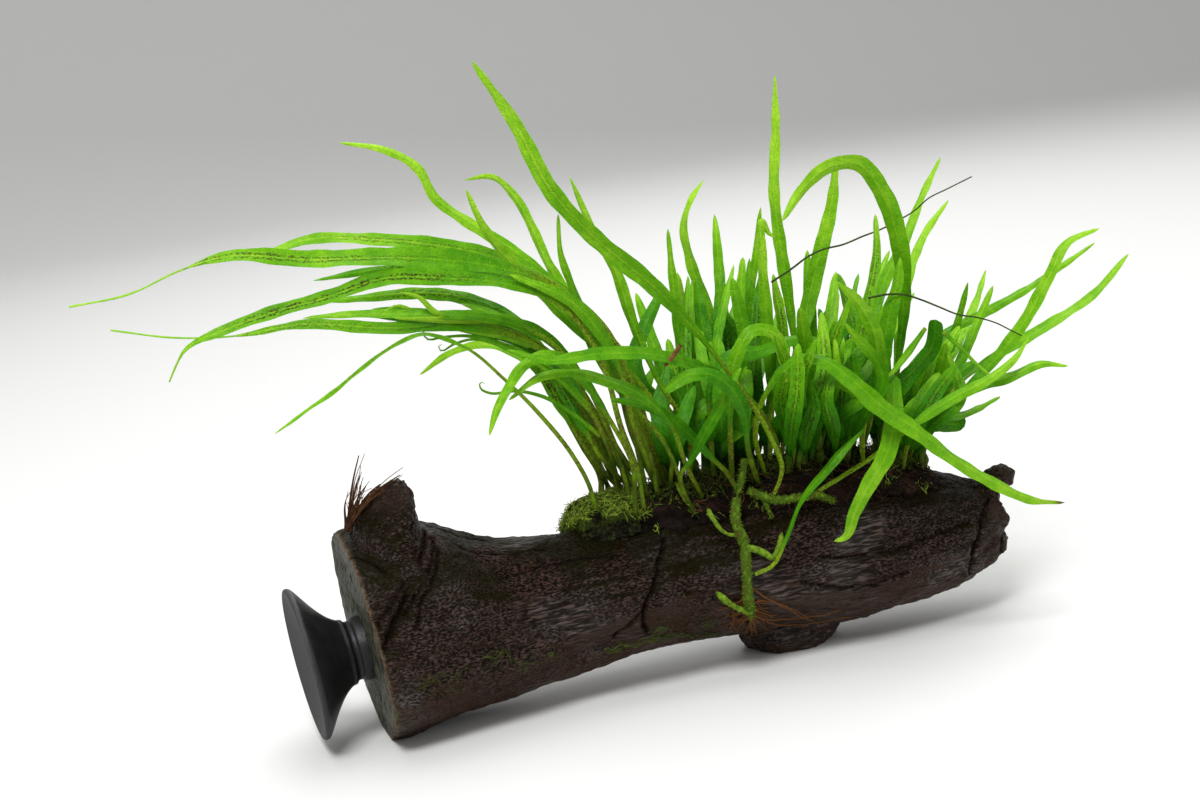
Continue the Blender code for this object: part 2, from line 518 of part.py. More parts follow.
LEAVES = (
    Leaf("leaf_tall_front", 6.4, None, -14, -16, (40, 30),
         ((48.7, -26.2), (51, -20), (48, -11), (38, 5), (28, 18), (15, 32), (0, 44.5), (-13, 58),
          (-24, 78), (-36, 95)), 0.22),
    Leaf("leaf_front_drooping", 5.8, (72, -11), -34, -16, (20, 10),
         ((73.5, -9), (78, 3), (81.5, 6), (82.3, -1), (80.2, -15), (75, -24), (71, -32), (68.4, -38.6),
          (65.5, -39.5)), 0.16),
    Leaf("leaf_front_diagonal", 6.6, (43, -9), -36, -14, (30, 50),
         ((43.5, -11), (47, 3), (54, 11), (61, 11.5), (70, 6), (79, -2), (88, -8), (100, -17),
          (112, -24), (120, -27.6), (130, -28.7)), 0.12),
    Leaf("leaf_long_left", 7.2, (11.5, -6), -48, -6, (-30, -45),
         ((14, -16), (9, -2), (3, 18), (-12, 31.5), (-30, 37.3), (-55, 39.6), (-82, 39.1), (-104, 40),
          (-118, 36), (-131, 29.8), (-148.5, 26)), 0.3),
    Leaf("leaf_upper_left", 5.6, (15, 2), 14, 4, (-30, -40),
         ((15, -15), (9, 5), (-4, 25), (-16, 35), (-30, 40), (-46, 43.2), (-64, 44.8), (-82, 44.7),
          (-97, 39)), 0.3),
    Leaf("leaf_sori_left", 5.4, (6, -10), -36, -12, (-25, -40),
         ((10.5, -20), (6, -8), (0, 12), (-10, 26), (-26, 32.2), (-44, 34), (-60, 34), (-76, 28.6),
          (-92, 24.2), (-106, 19), (-116, 14), (-120.5, 5)), 0.3),
    Leaf("leaf_low_left", 4.4, (4, -3), 12, -3, (-20, -40),
         ((6.5, -20), (2.5, -11.5), (-2.5, -1.5), (-9, 8), (-20, 16.8), (-38, 20.6), (-60, 20), (-84, 21),
          (-101, 18), (-119, 17.4), (-137, 19.5)), 0.3),
    Leaf("leaf_middle_left", 4.4, (3, 3), 40, 2, (-20, -30),
         ((3.5, -19), (-1.5, -10), (-7.5, 1), (-14, 12), (-24, 23), (-36, 28.2), (-50, 30), (-64, 28.9),
          (-77, 27.5)), 0.35),
    Leaf("leaf_drooping_left", 3.6, (-7, -7), -28, -10, (-20, -30),
         ((-3, -24), (-8, -15), (-16, -5), (-27, 6), (-38, 15), (-50, 18.6), (-62, 12.6), (-74, 3),
          (-84, -4.2), (-91, -9.5)), 0.4),
    Leaf("leaf_short_left", 4.0, (-2, 4), 28, 3, (-20, -30),
         ((0, -22), (-5, -13), (-11, -2), (-16, 8), (-23, 18), (-31, 22.7), (-40, 23.6), (-47.5, 22)),
          0.35),
    Leaf("leaf_pale_left", 3.4, (1.5, 9), 58, 6, (-25, -30),
         ((1, -20), (-5, -10), (-13, 2), (-22, 12), (-33, 15.5), (-42, 13), (-50.5, 7)), 0.35),
    Leaf("leaf_arching_left", 4.2, (17, 9), 48, 8, (-20, -30),
         ((16, -10), (10, 8), (-2, 23), (-14, 33.5), (-26, 43), (-38, 50.6), (-46, 56.5), (-51, 65),
          (-61, 70.2), (-73, 72)), 0.25),
    Leaf("leaf_rising_left", 4.4, (17, -2), 4, 10, (20, 30),
         ((20, -12), (10, 6), (-6, 20), (-20, 34), (-28, 42), (-33.5, 50), (-37.5, 59)), 0.25),
    Leaf("leaf_back_left", 4.2, (24.5, 10), 70, 8, (25, 35),
         ((22, -8), (8, 10), (-6, 25), (-15, 39), (-19, 48), (-24, 57), (-30, 62.3), (-38, 61.5)), 0.25),
    Leaf("leaf_yellowing", 4.0, (24, 1), -8, -8, (20, 40),
         ((25, -10), (16, 6), (9, 22), (4, 37), (-2.5, 48.5), (-8.5, 62.5)), 0.25),
    Leaf("leaf_slim_left", 3.6, (19, -8), -24, -6, (20, 40),
         ((18, -12), (6, 2), (-2, 16), (-7, 30), (-10.8, 41), (-11.7, 52)), 0.25),
    Leaf("leaf_front_level", 4.8, (49, -6), -46, -14, (-40, -35),
         ((50, -14), (44, -2), (34, 6.5), (25, 10), (15, 12.5), (0, 12.8), (-15, 11), (-26, 14)), 0.16),
    Leaf("leaf_left_hanging", 3.8, (3, -11), -52, -8, (-20, -20),
         ((9, -18), (3, -6), (-6, 7), (-14, 12.5), (-21, 10), (-26, 3), (-29, -3), (-31, -10)), 0.3),
    Leaf("leaf_front_low", 4.2, (23, -11), -42, -10, (-35, -40),
         ((24, -18), (20, -7), (12, 1), (2, 5.4), (-8, 7.8), (-17, 6.4), (-25.5, 0)), 0.22),
    Leaf("leaf_front_slanting", 4.4, None, -30, -4, (-25, -40),
         ((38.6, -25.6), (36, -21), (31, -16), (24, -9), (17, -3.5), (10, -1), (3, 0)), 0.18),
    Leaf("leaf_front_upright", 3.8, (19, -13.5), -22, -6, (20, 30),
         ((22.6, -21), (25.4, -17), (29, -10), (33, -3), (36, 3), (39.5, 9)), 0.25),
    Leaf("leaf_blunt_level", 5.0, (40, -11), -28, -10, (-20, -30),
         ((41.5, -14), (40.5, -4), (36, 4), (30, 7.2), (24, 6.6), (18, 2.5)), 0.2),
    Leaf("leaf_curled_tip", 4.4, (33, -9), -20, -6, (20, 10),
         ((36.5, -10), (36.5, 3), (38.5, 13), (43, 19.4), (48, 19), (51, 14.6), (51.5, 9.5)), 0.2),
    Leaf("leaf_broad_arch", 5.8, (30, -2), 4, -10, (35, 45),
         ((31, -8), (31, 4), (36, 12), (45, 14), (55, 17), (63, 15.6), (70, 10)), 0.2),
    Leaf("leaf_notched", 4.4, (35, 6), 26, 6, (25, 40),
         ((37, -6), (34.5, 10), (30, 26), (25.2, 40), (23.6, 48.5), (25.4, 55.6), (29, 61.5)), 0.2),
    Leaf("leaf_tall_thin", 4.8, (60, 7), 36, 4, (20, 40),
         ((57, -4), (55, 12), (53, 28), (50.6, 44), (49, 58), (49.3, 76), (49, 91)), 0.2),
    Leaf("leaf_upright_middle", 5.0, (48, 0), -2, -4, (20, 30),
         ((48, -4), (47.6, 12), (46.4, 28), (45.6, 38), (46, 46)), 0.2),
    Leaf("leaf_arching_right", 6.2, (83.5, 2), -22, -6, (30, 20),
         ((80, -8), (83.6, 12), (85, 30), (83.2, 46), (79, 58), (72, 66.3), (63.5, 65), (56.5, 58.8),
          (51, 50)), 0.15),
    Leaf("leaf_upright_tall", 5.6, (53, 3), 14, 5, (20, 20),
         ((52, -4), (54.4, 10), (58, 26), (61.5, 41), (64.8, 55), (66, 68)), 0.18),
    Leaf("leaf_upright_right", 4.6, (68.5, -2), 4, -5, (25, 30),
         ((68, -6), (71.5, 12), (75, 28), (77.2, 40), (77, 52)), 0.18),
    Leaf("leaf_rising_right", 4.4, (75.5, 5), 40, 5, (20, 35),
         ((72, -4), (75, 16), (79, 32), (84.5, 43), (90, 57), (95.3, 68)), 0.2),
    Leaf("leaf_back_right", 4.2, (87, 9), 66, 6, (20, 30),
         ((82, -4), (83.5, 16), (86, 34), (90.5, 46), (97.5, 56)), 0.2),
    Leaf("leaf_broad_right", 5.6, (74, -5), -16, -8, (20, 25),
         ((75, -8), (78, 8), (81, 24), (83.2, 33), (84, 40)), 0.16),
    Leaf("leaf_front_bright", 5.2, (81, -10), -54, -10, (15, 20),
         ((82, -12), (80.5, 0), (78.2, 10), (76, 21), (72, 27.6), (66.5, 33)), 0.16),
    Leaf("leaf_dark_cut", 6.4, (80, -3), -20, -4, (25, 35),
         ((79, -8), (83, 3), (89, 9.5), (93, 15), (94, 22.5)), 0.14),
    Leaf("leaf_far_right", 4.8, (89, -4), -16, -6, (25, 35),
         ((88, -12), (99, 0), (109, 9.5), (118, 20.5), (125.5, 34), (131, 44), (139.7, 48)), 0.2),
    Leaf("leaf_far_right_thin", 3.4, (83.5, 7), 54, 6, (20, 30),
         ((79, -8), (85, 7), (95, 17.6), (108, 24.6), (122, 32.6), (138.5, 44)), 0.25),
    Leaf("leaf_far_right_low", 4.6, (93, 2), 24, 5, (30, 40),
         ((91, -12), (99, 3), (112, 13), (125, 20.6), (138, 29.3), (148, 41)), 0.25),
    Leaf("leaf_low_right", 4.0, (85, -9), -36, -6, (30, 40),
         ((86, -13), (92, -3), (103, 3), (115, 6.6), (124, 10.2), (131, 9.5)), 0.25),
    Leaf("leaf_from_creeping", 3.8, None, -30, -6, (20, 30),
         ((61.2, -25.4), (69, -20.6), (77, -15.4), (88, -6.6), (99, 0.6), (109, 6), (116, 11.6),
          (120, 17.5)), 0.3),
    Leaf("leaf_from_hanging", 3.6, None, -30, -3, (30, 40),
         ((43.4, -48.8), (48, -46.6), (52, -39), (56.5, -28), (63, -20), (69, -13), (74, -8)), 0.16),
    Leaf("leaf_pale_right", 4.0, (91, 5), 60, 5, (20, 30),
         ((89, -8), (95, 6), (101, 18), (105.5, 28), (108, 36.5)), 0.25),
)


@dataclass
class Shoot:
    """Short leaves that spring from one bud on the felt.

    Each leaf has a width, its tip's place in the view, its tip's depth and its lean.
    """

    name: str
    foot: tuple[float, float]
    leaves: tuple


SHOOTS = (
    Shoot("shoot_left", (27, 7), (
        (4.6, (26, 34), 34, 18),
        (4.2, (10, 30), 44, -8),
        (3.8, (38, 28), 52, 12),
        (3.4, (19, 48), 12, 24),
    )),
    Shoot("shoot_middle", (41, 10), (
        (4.8, (40, 40), 34, 14),
        (4.0, (32, 52), 58, -8),
        (3.6, (52, 30), 68, 10),
        (3.2, (45, 54), 12, 30),
    )),
    Shoot("shoot_right", (66, 9), (
        (4.8, (66, 36), 44, 12),
        (4.2, (58, 42), 20, -6),
        (3.6, (81, 42), 60, 16),
        (3.4, (88, 30), 28, 24),
    )),
    Shoot("shoot_front", (60, -8), (
        (5.2, (56, 26), -26, 10),
        (4.8, (66, 22), -22, -8),
        (4.2, (49, 18), -34, 14),
        (3.4, (86.7, 40), -8, 20),
    )),
    Shoot("shoot_far_right", (94, -3), (
        (4.0, (97, 16), -28, 12),
        (3.4, (110, 32), 14, -8),
        (3.0, (103, 33), -6, 16),
        (2.8, (112, 1), 8, 24),
    )),
)


def blade_widths(part: np.ndarray, width: float, stalk: float) -> np.ndarray:
    """Width along a leaf, from its foot: a thin stalk, a blade that widens slowly and a long point."""
    blade = np.clip((part - stalk) / (1.0 - stalk), 0.0, 1.0)
    rise = np.clip(blade / 0.45, 0.0, 1.0)
    rise = rise * rise * (3.0 - 2.0 * rise)
    fall = np.sqrt(np.clip(1.0 - blade**5, 0.0, 1.0)) * (1.0 - 0.45 * blade**2)
    return (STALK_WIDTH + (width - STALK_WIDTH) * rise) * fall


class LeafBed:
    """Places leaves one after another, each bowed in depth by the least that clears those already there."""

    def __init__(self) -> None:
        self.places = np.zeros((0, 3))
        self.sizes = np.zeros((0, 2))

    def crowding(self, places: np.ndarray, sizes: np.ndarray) -> float:
        """How deeply points, each with half widths in the view and in depth, run into those already placed."""
        offset = places[:, None, :] - self.places[None, :, :]
        reach = sizes[:, None, :] + self.sizes[None, :, :] + GAP
        beside = (offset[..., 0] ** 2 + offset[..., 1] ** 2) / reach[..., 0] ** 2
        behind = (offset[..., 2] / reach[..., 1]) ** 2
        return float(np.clip(1.0 - beside - behind, 0.0, None).sum())

    def place(self, plan: np.ndarray, depth: np.ndarray, width: np.ndarray, lean: np.ndarray) -> np.ndarray:
        """The depth of a leaf's points once it clears the others, from its plan and its wished depth."""
        part = np.linspace(0.0, 1.0, len(plan))
        thickness = width * np.abs(np.sin(lean)) + LEAF_THICKNESS
        sizes = (np.column_stack([width * np.cos(lean), thickness]) + LEAF_CLEARANCE) / 2
        best = None
        for bow in BOWS:
            for drift in DRIFTS:
                tried = depth + bow * np.sin(math.pi * part**0.6) + drift * part
                cost = self.crowding(np.column_stack([plan, tried]), sizes) + 0.01 * (abs(bow) + abs(drift))
                if best is None or cost < best[0]:
                    best = (cost, tried)
        self.places = np.concatenate([self.places, np.column_stack([plan, best[1]])])
        self.sizes = np.concatenate([self.sizes, sizes])
        return best[1]


def in_view(point: np.ndarray) -> tuple[float, float]:
    """Where a place is seen, right and up of the view's centre."""
    ray = point - EYE
    ray = ray * (VIEW_DISTANCE / (ray @ AHEAD))
    return float(ray @ RIGHT), float(ray @ UP)


def leaf_line(leaf: Leaf, foot_depth: float, bed: LeafBed, free: int) -> tuple:
    """A leaf's middle line in space, its widths and its leans in radians. Its first free samples may touch."""
    plan = smooth_line(leaf.points, LEAF_SAMPLES)
    part = np.linspace(0.0, 1.0, LEAF_SAMPLES)
    depth = foot_depth + (leaf.tip_depth - foot_depth) * part**DEPTH_POWER + leaf.bow * np.sin(math.pi * part)
    width = blade_widths(part, leaf.width, leaf.stalk)
    lean = np.radians(leaf.lean[0] + (leaf.lean[1] - leaf.lean[0]) * part)
    placed = bed.place(plan[free:], depth[free:], width[free:], lean[free:])
    depth[:free] += (placed[0] - depth[free]) * part[:free] / part[free]
    depth[free:] = placed
    return seen(plan[:, 0], plan[:, 1], depth), width, lean


def leaf_solid(line: np.ndarray, width: np.ndarray, lean: np.ndarray, segments: int) -> tuple:
    """A closed blade with a four-cornered section, thickest along its rib, that ends in a point."""
    pick = np.linspace(0, len(line) - 1, segments + 1)
    order = np.arange(len(line))
    line = np.column_stack([np.interp(pick, order, column) for column in line.T])
    width = np.interp(pick, order, width)
    lean = np.interp(pick, order, lean)
    across, inward = frames_along(line)
    edge = across * np.cos(lean)[:, None] + inward * np.sin(lean)[:, None]
    face = inward * np.cos(lean)[:, None] - across * np.sin(lean)[:, None]
    thick = np.minimum(LEAF_THICKNESS, width)
    corners = np.stack(
        [
            line + edge * width[:, None] / 2,
            line + face * thick[:, None] / 2,
            line - edge * width[:, None] / 2,
            line - face * thick[:, None] / 2,
        ],
        axis=1,
    )[:-1]
    points = np.concatenate([corners.reshape(-1, 3), line[-1][None]])
    faces = tube_faces(segments, 4, closed_ends=False)
    faces.append((3, 2, 1, 0))
    last = 4 * (segments - 1)
    faces += [(last + side, last + (side + 1) % 4, len(points) - 1) for side in range(4)]
    return points, faces


def make_leaf(leaf: Leaf, bed: LeafBed) -> None:
    """A leaf with a node of its own, whose foot stands on the felt or lies on the wood."""
    if leaf.foot is None:
        foot_depth = resting_depth(*leaf.points[0], LEAF_FOOT_LIFT)
    else:
        foot_depth = leaf.foot[1]
        stand = np.array([leaf.foot[0], foot_depth, cushion_top(*leaf.foot) + FOOT_GAP])
        leaf = replace(leaf, points=(in_view(stand), *leaf.points))
    segments = LEAF_SEGMENTS + 3 * (len(leaf.points) > 9)
    make_object(leaf.name, *leaf_solid(*leaf_line(leaf, foot_depth, bed, 0), segments), LEAF_GREEN)


def make_shoot(shoot: Shoot, bed: LeafBed) -> None:
    """A bud on the felt and the short leaves that spring from it, as one body."""
    x, depth = shoot.foot
    stand = np.array([x, depth, cushion_top(x, depth) + FOOT_GAP])
    bud = smooth_line([stand + (0, 0, 0.6), stand + (0.3, 0, 2.8), stand + (0.2, 0, 5.0)], 4)
    parts = [strand(bud, np.array([1.2, 2.1, 2.0, 0.8]), 6)]
    right, up = in_view(stand + (0, 0, 2.4))
    for width, (tip_right, tip_up), tip_depth, lean in shoot.leaves:
        swing = 0.35 * (tip_right - right)
        points = (
            (right, up),
            (right + 0.3 * swing, up + 10),
            (right + 1.6 * swing, (up + tip_up) / 2 + 4),
            (tip_right, tip_up),
        )
        leaf = Leaf(shoot.name, width, None, tip_depth, 0, (lean, lean + 15), points, 0.15)
        parts.append(leaf_solid(*leaf_line(leaf, depth, bed, BUD_SAMPLES), SHOOT_LEAF_SEGMENTS))
    joined(shoot.name, parts, YOUNG_GREEN)


def make_leaves() -> None:
    """Every leaf, from the front ones back, and then the shoots."""
    bed = LeafBed()
    for leaf in LEAVES:
        make_leaf(leaf, bed)
    for shoot in SHOOTS:
        make_shoot(shoot, bed)


def build() -> None:
    """Makes every piece of the model."""
    for leftover in list(bpy.data.objects):
        bpy.data.objects.remove(leftover)
    make_wood_mesh("driftwood_log", 0.0)
    wood_cutter = make_helper(make_wood_mesh("wood_clearance", GAP))
    make_stubs(wood_cutter)
    make_suction_cup(wood_cutter)
    moss_start, felt_end = CUSHION_OUTLINE[0][0], CUSHION_OUTLINE[-1][0]
    felt = make_cushion_mesh("root_mat", (MOSS_END_X + GAP, felt_end), 15, ROOT_BROWN)
    moss = make_cushion_mesh("moss_pad", (moss_start, MOSS_END_X), 8, MOSS_GREEN)
    for cushion in (felt, moss):
        boolean(cushion, wood_cutter, "DIFFERENCE")
    make_rhizomes()
    make_fibre_tuft()
    make_leaves()


build()
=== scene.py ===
"""The looks of a narrow-leaved java fern grown on driftwood, with a suction cup on the wood's sawn end.

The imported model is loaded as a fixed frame. Each sub-assembly is a class that works out its surfaces on
grids of points with numpy, lays them where the model's solids lie, and dresses them with procedural finishes.
Lengths are in millimetres in the wood's own frame until a mesh is made.

The plant is laid out as seen from the photograph's viewpoint. A place in that view is given by millimetres to
the right and up of its centre, and a depth, the distance behind the wood's own middle plane.
"""

from __future__ import annotations

import itertools
import logging
import math
from dataclasses import dataclass, field, replace
from enum import Enum

import bpy
import numpy as np
from mathutils import Matrix, Vector

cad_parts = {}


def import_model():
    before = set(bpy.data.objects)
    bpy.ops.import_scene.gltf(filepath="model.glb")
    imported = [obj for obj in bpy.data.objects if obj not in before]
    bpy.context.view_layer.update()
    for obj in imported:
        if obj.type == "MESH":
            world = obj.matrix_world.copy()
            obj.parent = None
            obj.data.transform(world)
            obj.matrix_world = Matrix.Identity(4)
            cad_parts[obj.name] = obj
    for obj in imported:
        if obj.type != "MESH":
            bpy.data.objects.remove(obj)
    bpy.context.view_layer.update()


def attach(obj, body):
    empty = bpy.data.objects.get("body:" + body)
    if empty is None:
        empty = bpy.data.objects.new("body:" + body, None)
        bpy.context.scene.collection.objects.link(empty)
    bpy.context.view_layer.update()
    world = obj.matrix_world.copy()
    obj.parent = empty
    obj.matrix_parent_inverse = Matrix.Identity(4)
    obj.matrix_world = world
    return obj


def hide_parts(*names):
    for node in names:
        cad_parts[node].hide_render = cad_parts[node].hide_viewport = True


Array = np.ndarray
Random = np.random.Generator
MM = 0.001
# No edge of a piece is drawn sharp at this angle.
SOFT = 180
# The floor below the middle of the whole plant, in the wood's own frame.
ORIGIN = np.array([22, 8, 0])
LOG = logging.getLogger("java_fern")


def unit(vectors: Array) -> Array:
    """Vectors scaled to a length of one along their last axis."""
    return vectors / np.maximum(np.linalg.norm(vectors, axis=-1, keepdims=True), 1e-9)


def held(value: object) -> Array:
    """A value held between 0 and 1."""
    return np.clip(value, 0, 1)


def smoothstep(low: float, high: float, value: Array) -> Array:
    """0 below low, 1 above high and 3t^2 - 2t^3 between, with t the part of the way."""
    part = held((value - low) / (high - low))
    return part * part * (3 - 2 * part)


def blend(first: object, second: object, share: object) -> object:
    """The first turning to the second as the share goes from 0 to 1."""
    return first * (1 - share) + second * share


def hill(*offsets: Array) -> Array:
    """1 where every offset is 0, falling away as exp(-(a^2 + b^2))."""
    return np.exp(-sum(offset**2 for offset in offsets))


def full_turn(sides: int) -> Array:
    """Evenly spaced angles once round, in radians."""
    return np.linspace(0, 2 * math.pi, sides, endpoint=False)


def graded(values: tuple, count: int) -> Array:
    """Values spread evenly over a number of steps, straight between the given ones."""
    return np.interp(np.linspace(0, len(values) - 1, count), np.arange(len(values)), values)


def reach_along(line: Array) -> Array:
    """The distance along a line at each of its points."""
    return np.append(0, np.cumsum(np.linalg.norm(np.diff(line, axis=0), axis=1)))


def cubic(rows: Array, slopes: Array, reach: Array, along: Array) -> Array:
    """Values at places along a curve that is a cubic between each two rows, with the given slopes there.

    With t the part of the way between two rows, the row before counts 2t^3 - 3t^2 + 1 and the one after
    3t^2 - 2t^3, and their slopes, times the step, count t^3 - 2t^2 + t and t^3 - t^2.

    Args:
        rows: The values that the curve goes through.
        slopes: How they change at each row.
        reach: How far along the curve each row lies.
        along: The places to read.

    Returns:
        One row of values for each place.
    """
    start = np.clip(np.searchsorted(reach, along, side="right") - 1, 0, len(rows) - 2)
    span = (reach[start + 1] - reach[start])[:, None]
    part = (along - reach[start])[:, None] / span
    return (
        (2 * part**3 - 3 * part**2 + 1) * rows[start]
        + (part**3 - 2 * part**2 + part) * span * slopes[start]
        + (3 * part**2 - 2 * part**3) * rows[start + 1]
        + (part**3 - part**2) * span * slopes[start + 1]
    )


def smooth_line(points: object, count: int) -> Array:
    """Evenly spaced points along a smooth curve through the given ones.

    Args:
        points: The places that the curve goes through.
        count: How many points to give.

    Returns:
        The points, at equal steps of length.
    """
    points = np.asarray(points, float)
    reach = reach_along(points)
    along = np.linspace(0, reach[-1], 16 * len(points))
    line = cubic(points, np.gradient(points, reach, axis=0), reach, along)
    length = reach_along(line)
    even = np.linspace(0, length[-1], count)
    return np.column_stack([np.interp(even, length, column) for column in line.T])


def resampled(rows: Array, count: int) -> Array:
    """The same curve with another number of rows."""
    order = np.arange(len(rows), dtype=float)
    return cubic(rows, np.gradient(rows, axis=0), order, np.linspace(0, order[-1], count))


def lattice_noise(points: Array, seed: int) -> Array:
    """Smooth noise between -1 and 1 in cells one unit wide.

    Each corner of a cell gets a number hashed from its place, and the numbers are blended by 3t^2 - 2t^3
    along each axis.

    Args:
        points: Places, with three numbers on the last axis.
        seed: Picks one of many patterns.

    Returns:
        One number for each place.
    """
    cell = np.floor(points).astype(np.int64)
    part = smoothstep(0, 1, points - cell)
    total = np.zeros(points.shape[:-1])
    for corner in itertools.product((0, 1), repeat=3):
        key = (cell + corner) * (73856093, 19349663, 83492791)
        mixed = key[..., 0] ^ key[..., 1] ^ key[..., 2] ^ (seed * 2654435)
        mixed = (mixed ^ (mixed >> 13)) * 1274126177
        value = ((mixed ^ (mixed >> 16)) & 0xFFFF) / 32767.5 - 1
        total += value * np.prod(np.where(corner, part, 1 - part), axis=-1)
    return total


def layered_noise(points: Array, seed: int, layers: int) -> Array:
    """Noise summed over layers, each twice as fine and half as strong as the one before."""
    return sum(lattice_noise(points * 2**layer, seed + layer) / 2**layer for layer in range(layers))


def axis_noise(points: Array, seed: int, axes: int = 3) -> Array:
    """Noise with a pattern of its own for each axis."""
    return np.stack([lattice_noise(points, seed + axis) for axis in range(axes)], axis=-1)


def nearness(points: Array, line: Array, width: float) -> Array:
    """1 on a line and falling to 0 away from it, as exp(-(distance / width)^2)."""
    nearest = np.full(points.shape[:-1], np.inf)
    for place in line:
        nearest = np.minimum(nearest, ((points - place) ** 2).sum(axis=-1))
    return np.exp(-nearest / width**2)


@dataclass
class Viewpoint:
    """The photograph's viewpoint, from which the plant is laid out."""

    distance: float = 653.0
    turn: float = math.radians(15.5)
    rise: float = math.radians(12.0)
    roll: float = math.radians(7.2)
    centre: tuple[float, float, float] = (0.0, 0.0, 82.5)
    right: Array = field(init=False)
    up: Array = field(init=False)
    ahead: Array = field(init=False)
    eye: Array = field(init=False)

    def __post_init__(self) -> None:
        """Works out the view's directions from its turn about the upright, its rise and its roll."""
        turn, rise, roll = self.turn, self.rise, self.roll
        level = np.array([math.cos(turn), -math.sin(turn), 0])
        forward = np.array([math.sin(turn), math.cos(turn), 0])
        height = np.array([0, 0, 1])
        upright = forward * math.sin(rise) + height * math.cos(rise)
        self.ahead = forward * math.cos(rise) - height * math.sin(rise)
        self.right = level * math.cos(roll) - upright * math.sin(roll)
        self.up = level * math.sin(roll) + upright * math.cos(roll)
        self.eye = np.array(self.centre) - self.distance * self.ahead

    def seen(self, right: object, up: object, depth: object) -> Array:
        """The places at the given depths that are seen at right and up of the view's centre."""
        right, up, depth = np.broadcast_arrays(*(np.asarray(value, float) for value in (right, up, depth)))
        ray = right[..., None] * self.right + up[..., None] * self.up + self.distance * self.ahead
        return self.eye + ray * ((depth - self.eye[1]) / ray[..., 1])[..., None]

    def in_view(self, point: Array) -> tuple:
        """Where places are seen, right and up of the view's centre."""
        ray = point - self.eye
        ray = ray * (self.distance / (ray @ self.ahead))[..., None]
        return ray @ self.right, ray @ self.up

    def frames_along(self, lines: Array) -> tuple[Array, Array]:
        """The directions across and along the view that are square to lines, at each of their points."""
        tangent = unit(np.gradient(lines, axis=-2))
        across = unit(np.cross(tangent, lines - self.eye))
        return across, np.cross(across, tangent)


VIEW = Viewpoint()


def placed(name: str, data: bpy.types.ID) -> bpy.types.Object:
    """A new object in the scene that carries the data."""
    made = bpy.data.objects.new(name, data)
    bpy.context.scene.collection.objects.link(made)
    return made


@dataclass
class Surface:
    """Points with their faces, and the values and texture places that the points carry."""

    points: Array
    quads: Array
    triangles: Array
    values: dict[str, Array]
    places: Array

    @staticmethod
    def joined(parts: list[Surface]) -> Surface:
        """All the parts as one surface, with 0 for a value that a part lacks.

        Args:
            parts: The surfaces, at least one.

        Returns:
            One surface.
        """
        names = sorted({name for part in parts for name in part.values})
        starts = np.cumsum([0] + [len(part.points) for part in parts[:-1]])
        return Surface(
            np.concatenate([part.points for part in parts]),
            np.concatenate([part.quads + start for part, start in zip(parts, starts)]),
            np.concatenate([part.triangles + start for part, start in zip(parts, starts)]),
            {
                name: np.concatenate([part.values.get(name, np.zeros(len(part.points))) for part in parts])
                for name in names
            },
            np.concatenate([part.places for part in parts]),
        )

    def piece(
        self, name: str, material: bpy.types.Material, slot: str, *nodes: str, crease: float = 50.0
    ) -> bpy.types.Object:
        """Makes the surface a piece of the object that rides on its body.

        Args:
            name: The piece's name.
            material: Its finish.
            slot: Not used.
            nodes: The solids that the piece stands for.
            crease: The angle in degrees from which an edge is drawn sharp.

        Returns:
            The piece, smooth and at the origin.
        """
        mesh = bpy.data.meshes.new(name)
        faces = self.quads.tolist() + self.triangles.tolist()
        mesh.from_pydata(((self.points - ORIGIN) * MM).tolist(), [], faces)
        corners = np.empty(len(mesh.loops), np.int32)
        mesh.loops.foreach_get("vertex_index", corners)
        layer = mesh.uv_layers.new(name="places")
        layer.data.foreach_set("uv", (self.places[corners] * MM).astype(np.float32).ravel())
        for key, value in self.values.items():
            attribute = mesh.attributes.new(key, "FLOAT", "POINT")
            attribute.data.foreach_set("value", value.astype(np.float32))
        mesh.shade_smooth()
        mesh.set_sharp_from_angle(angle=math.radians(crease))
        mesh.materials.append(material)
        made = placed(name, mesh)
        if nodes:
            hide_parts(*nodes)
        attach(made, "root")
        LOG.info("%s: %d triangles", name, 2 * len(self.quads) + len(self.triangles))
        return made


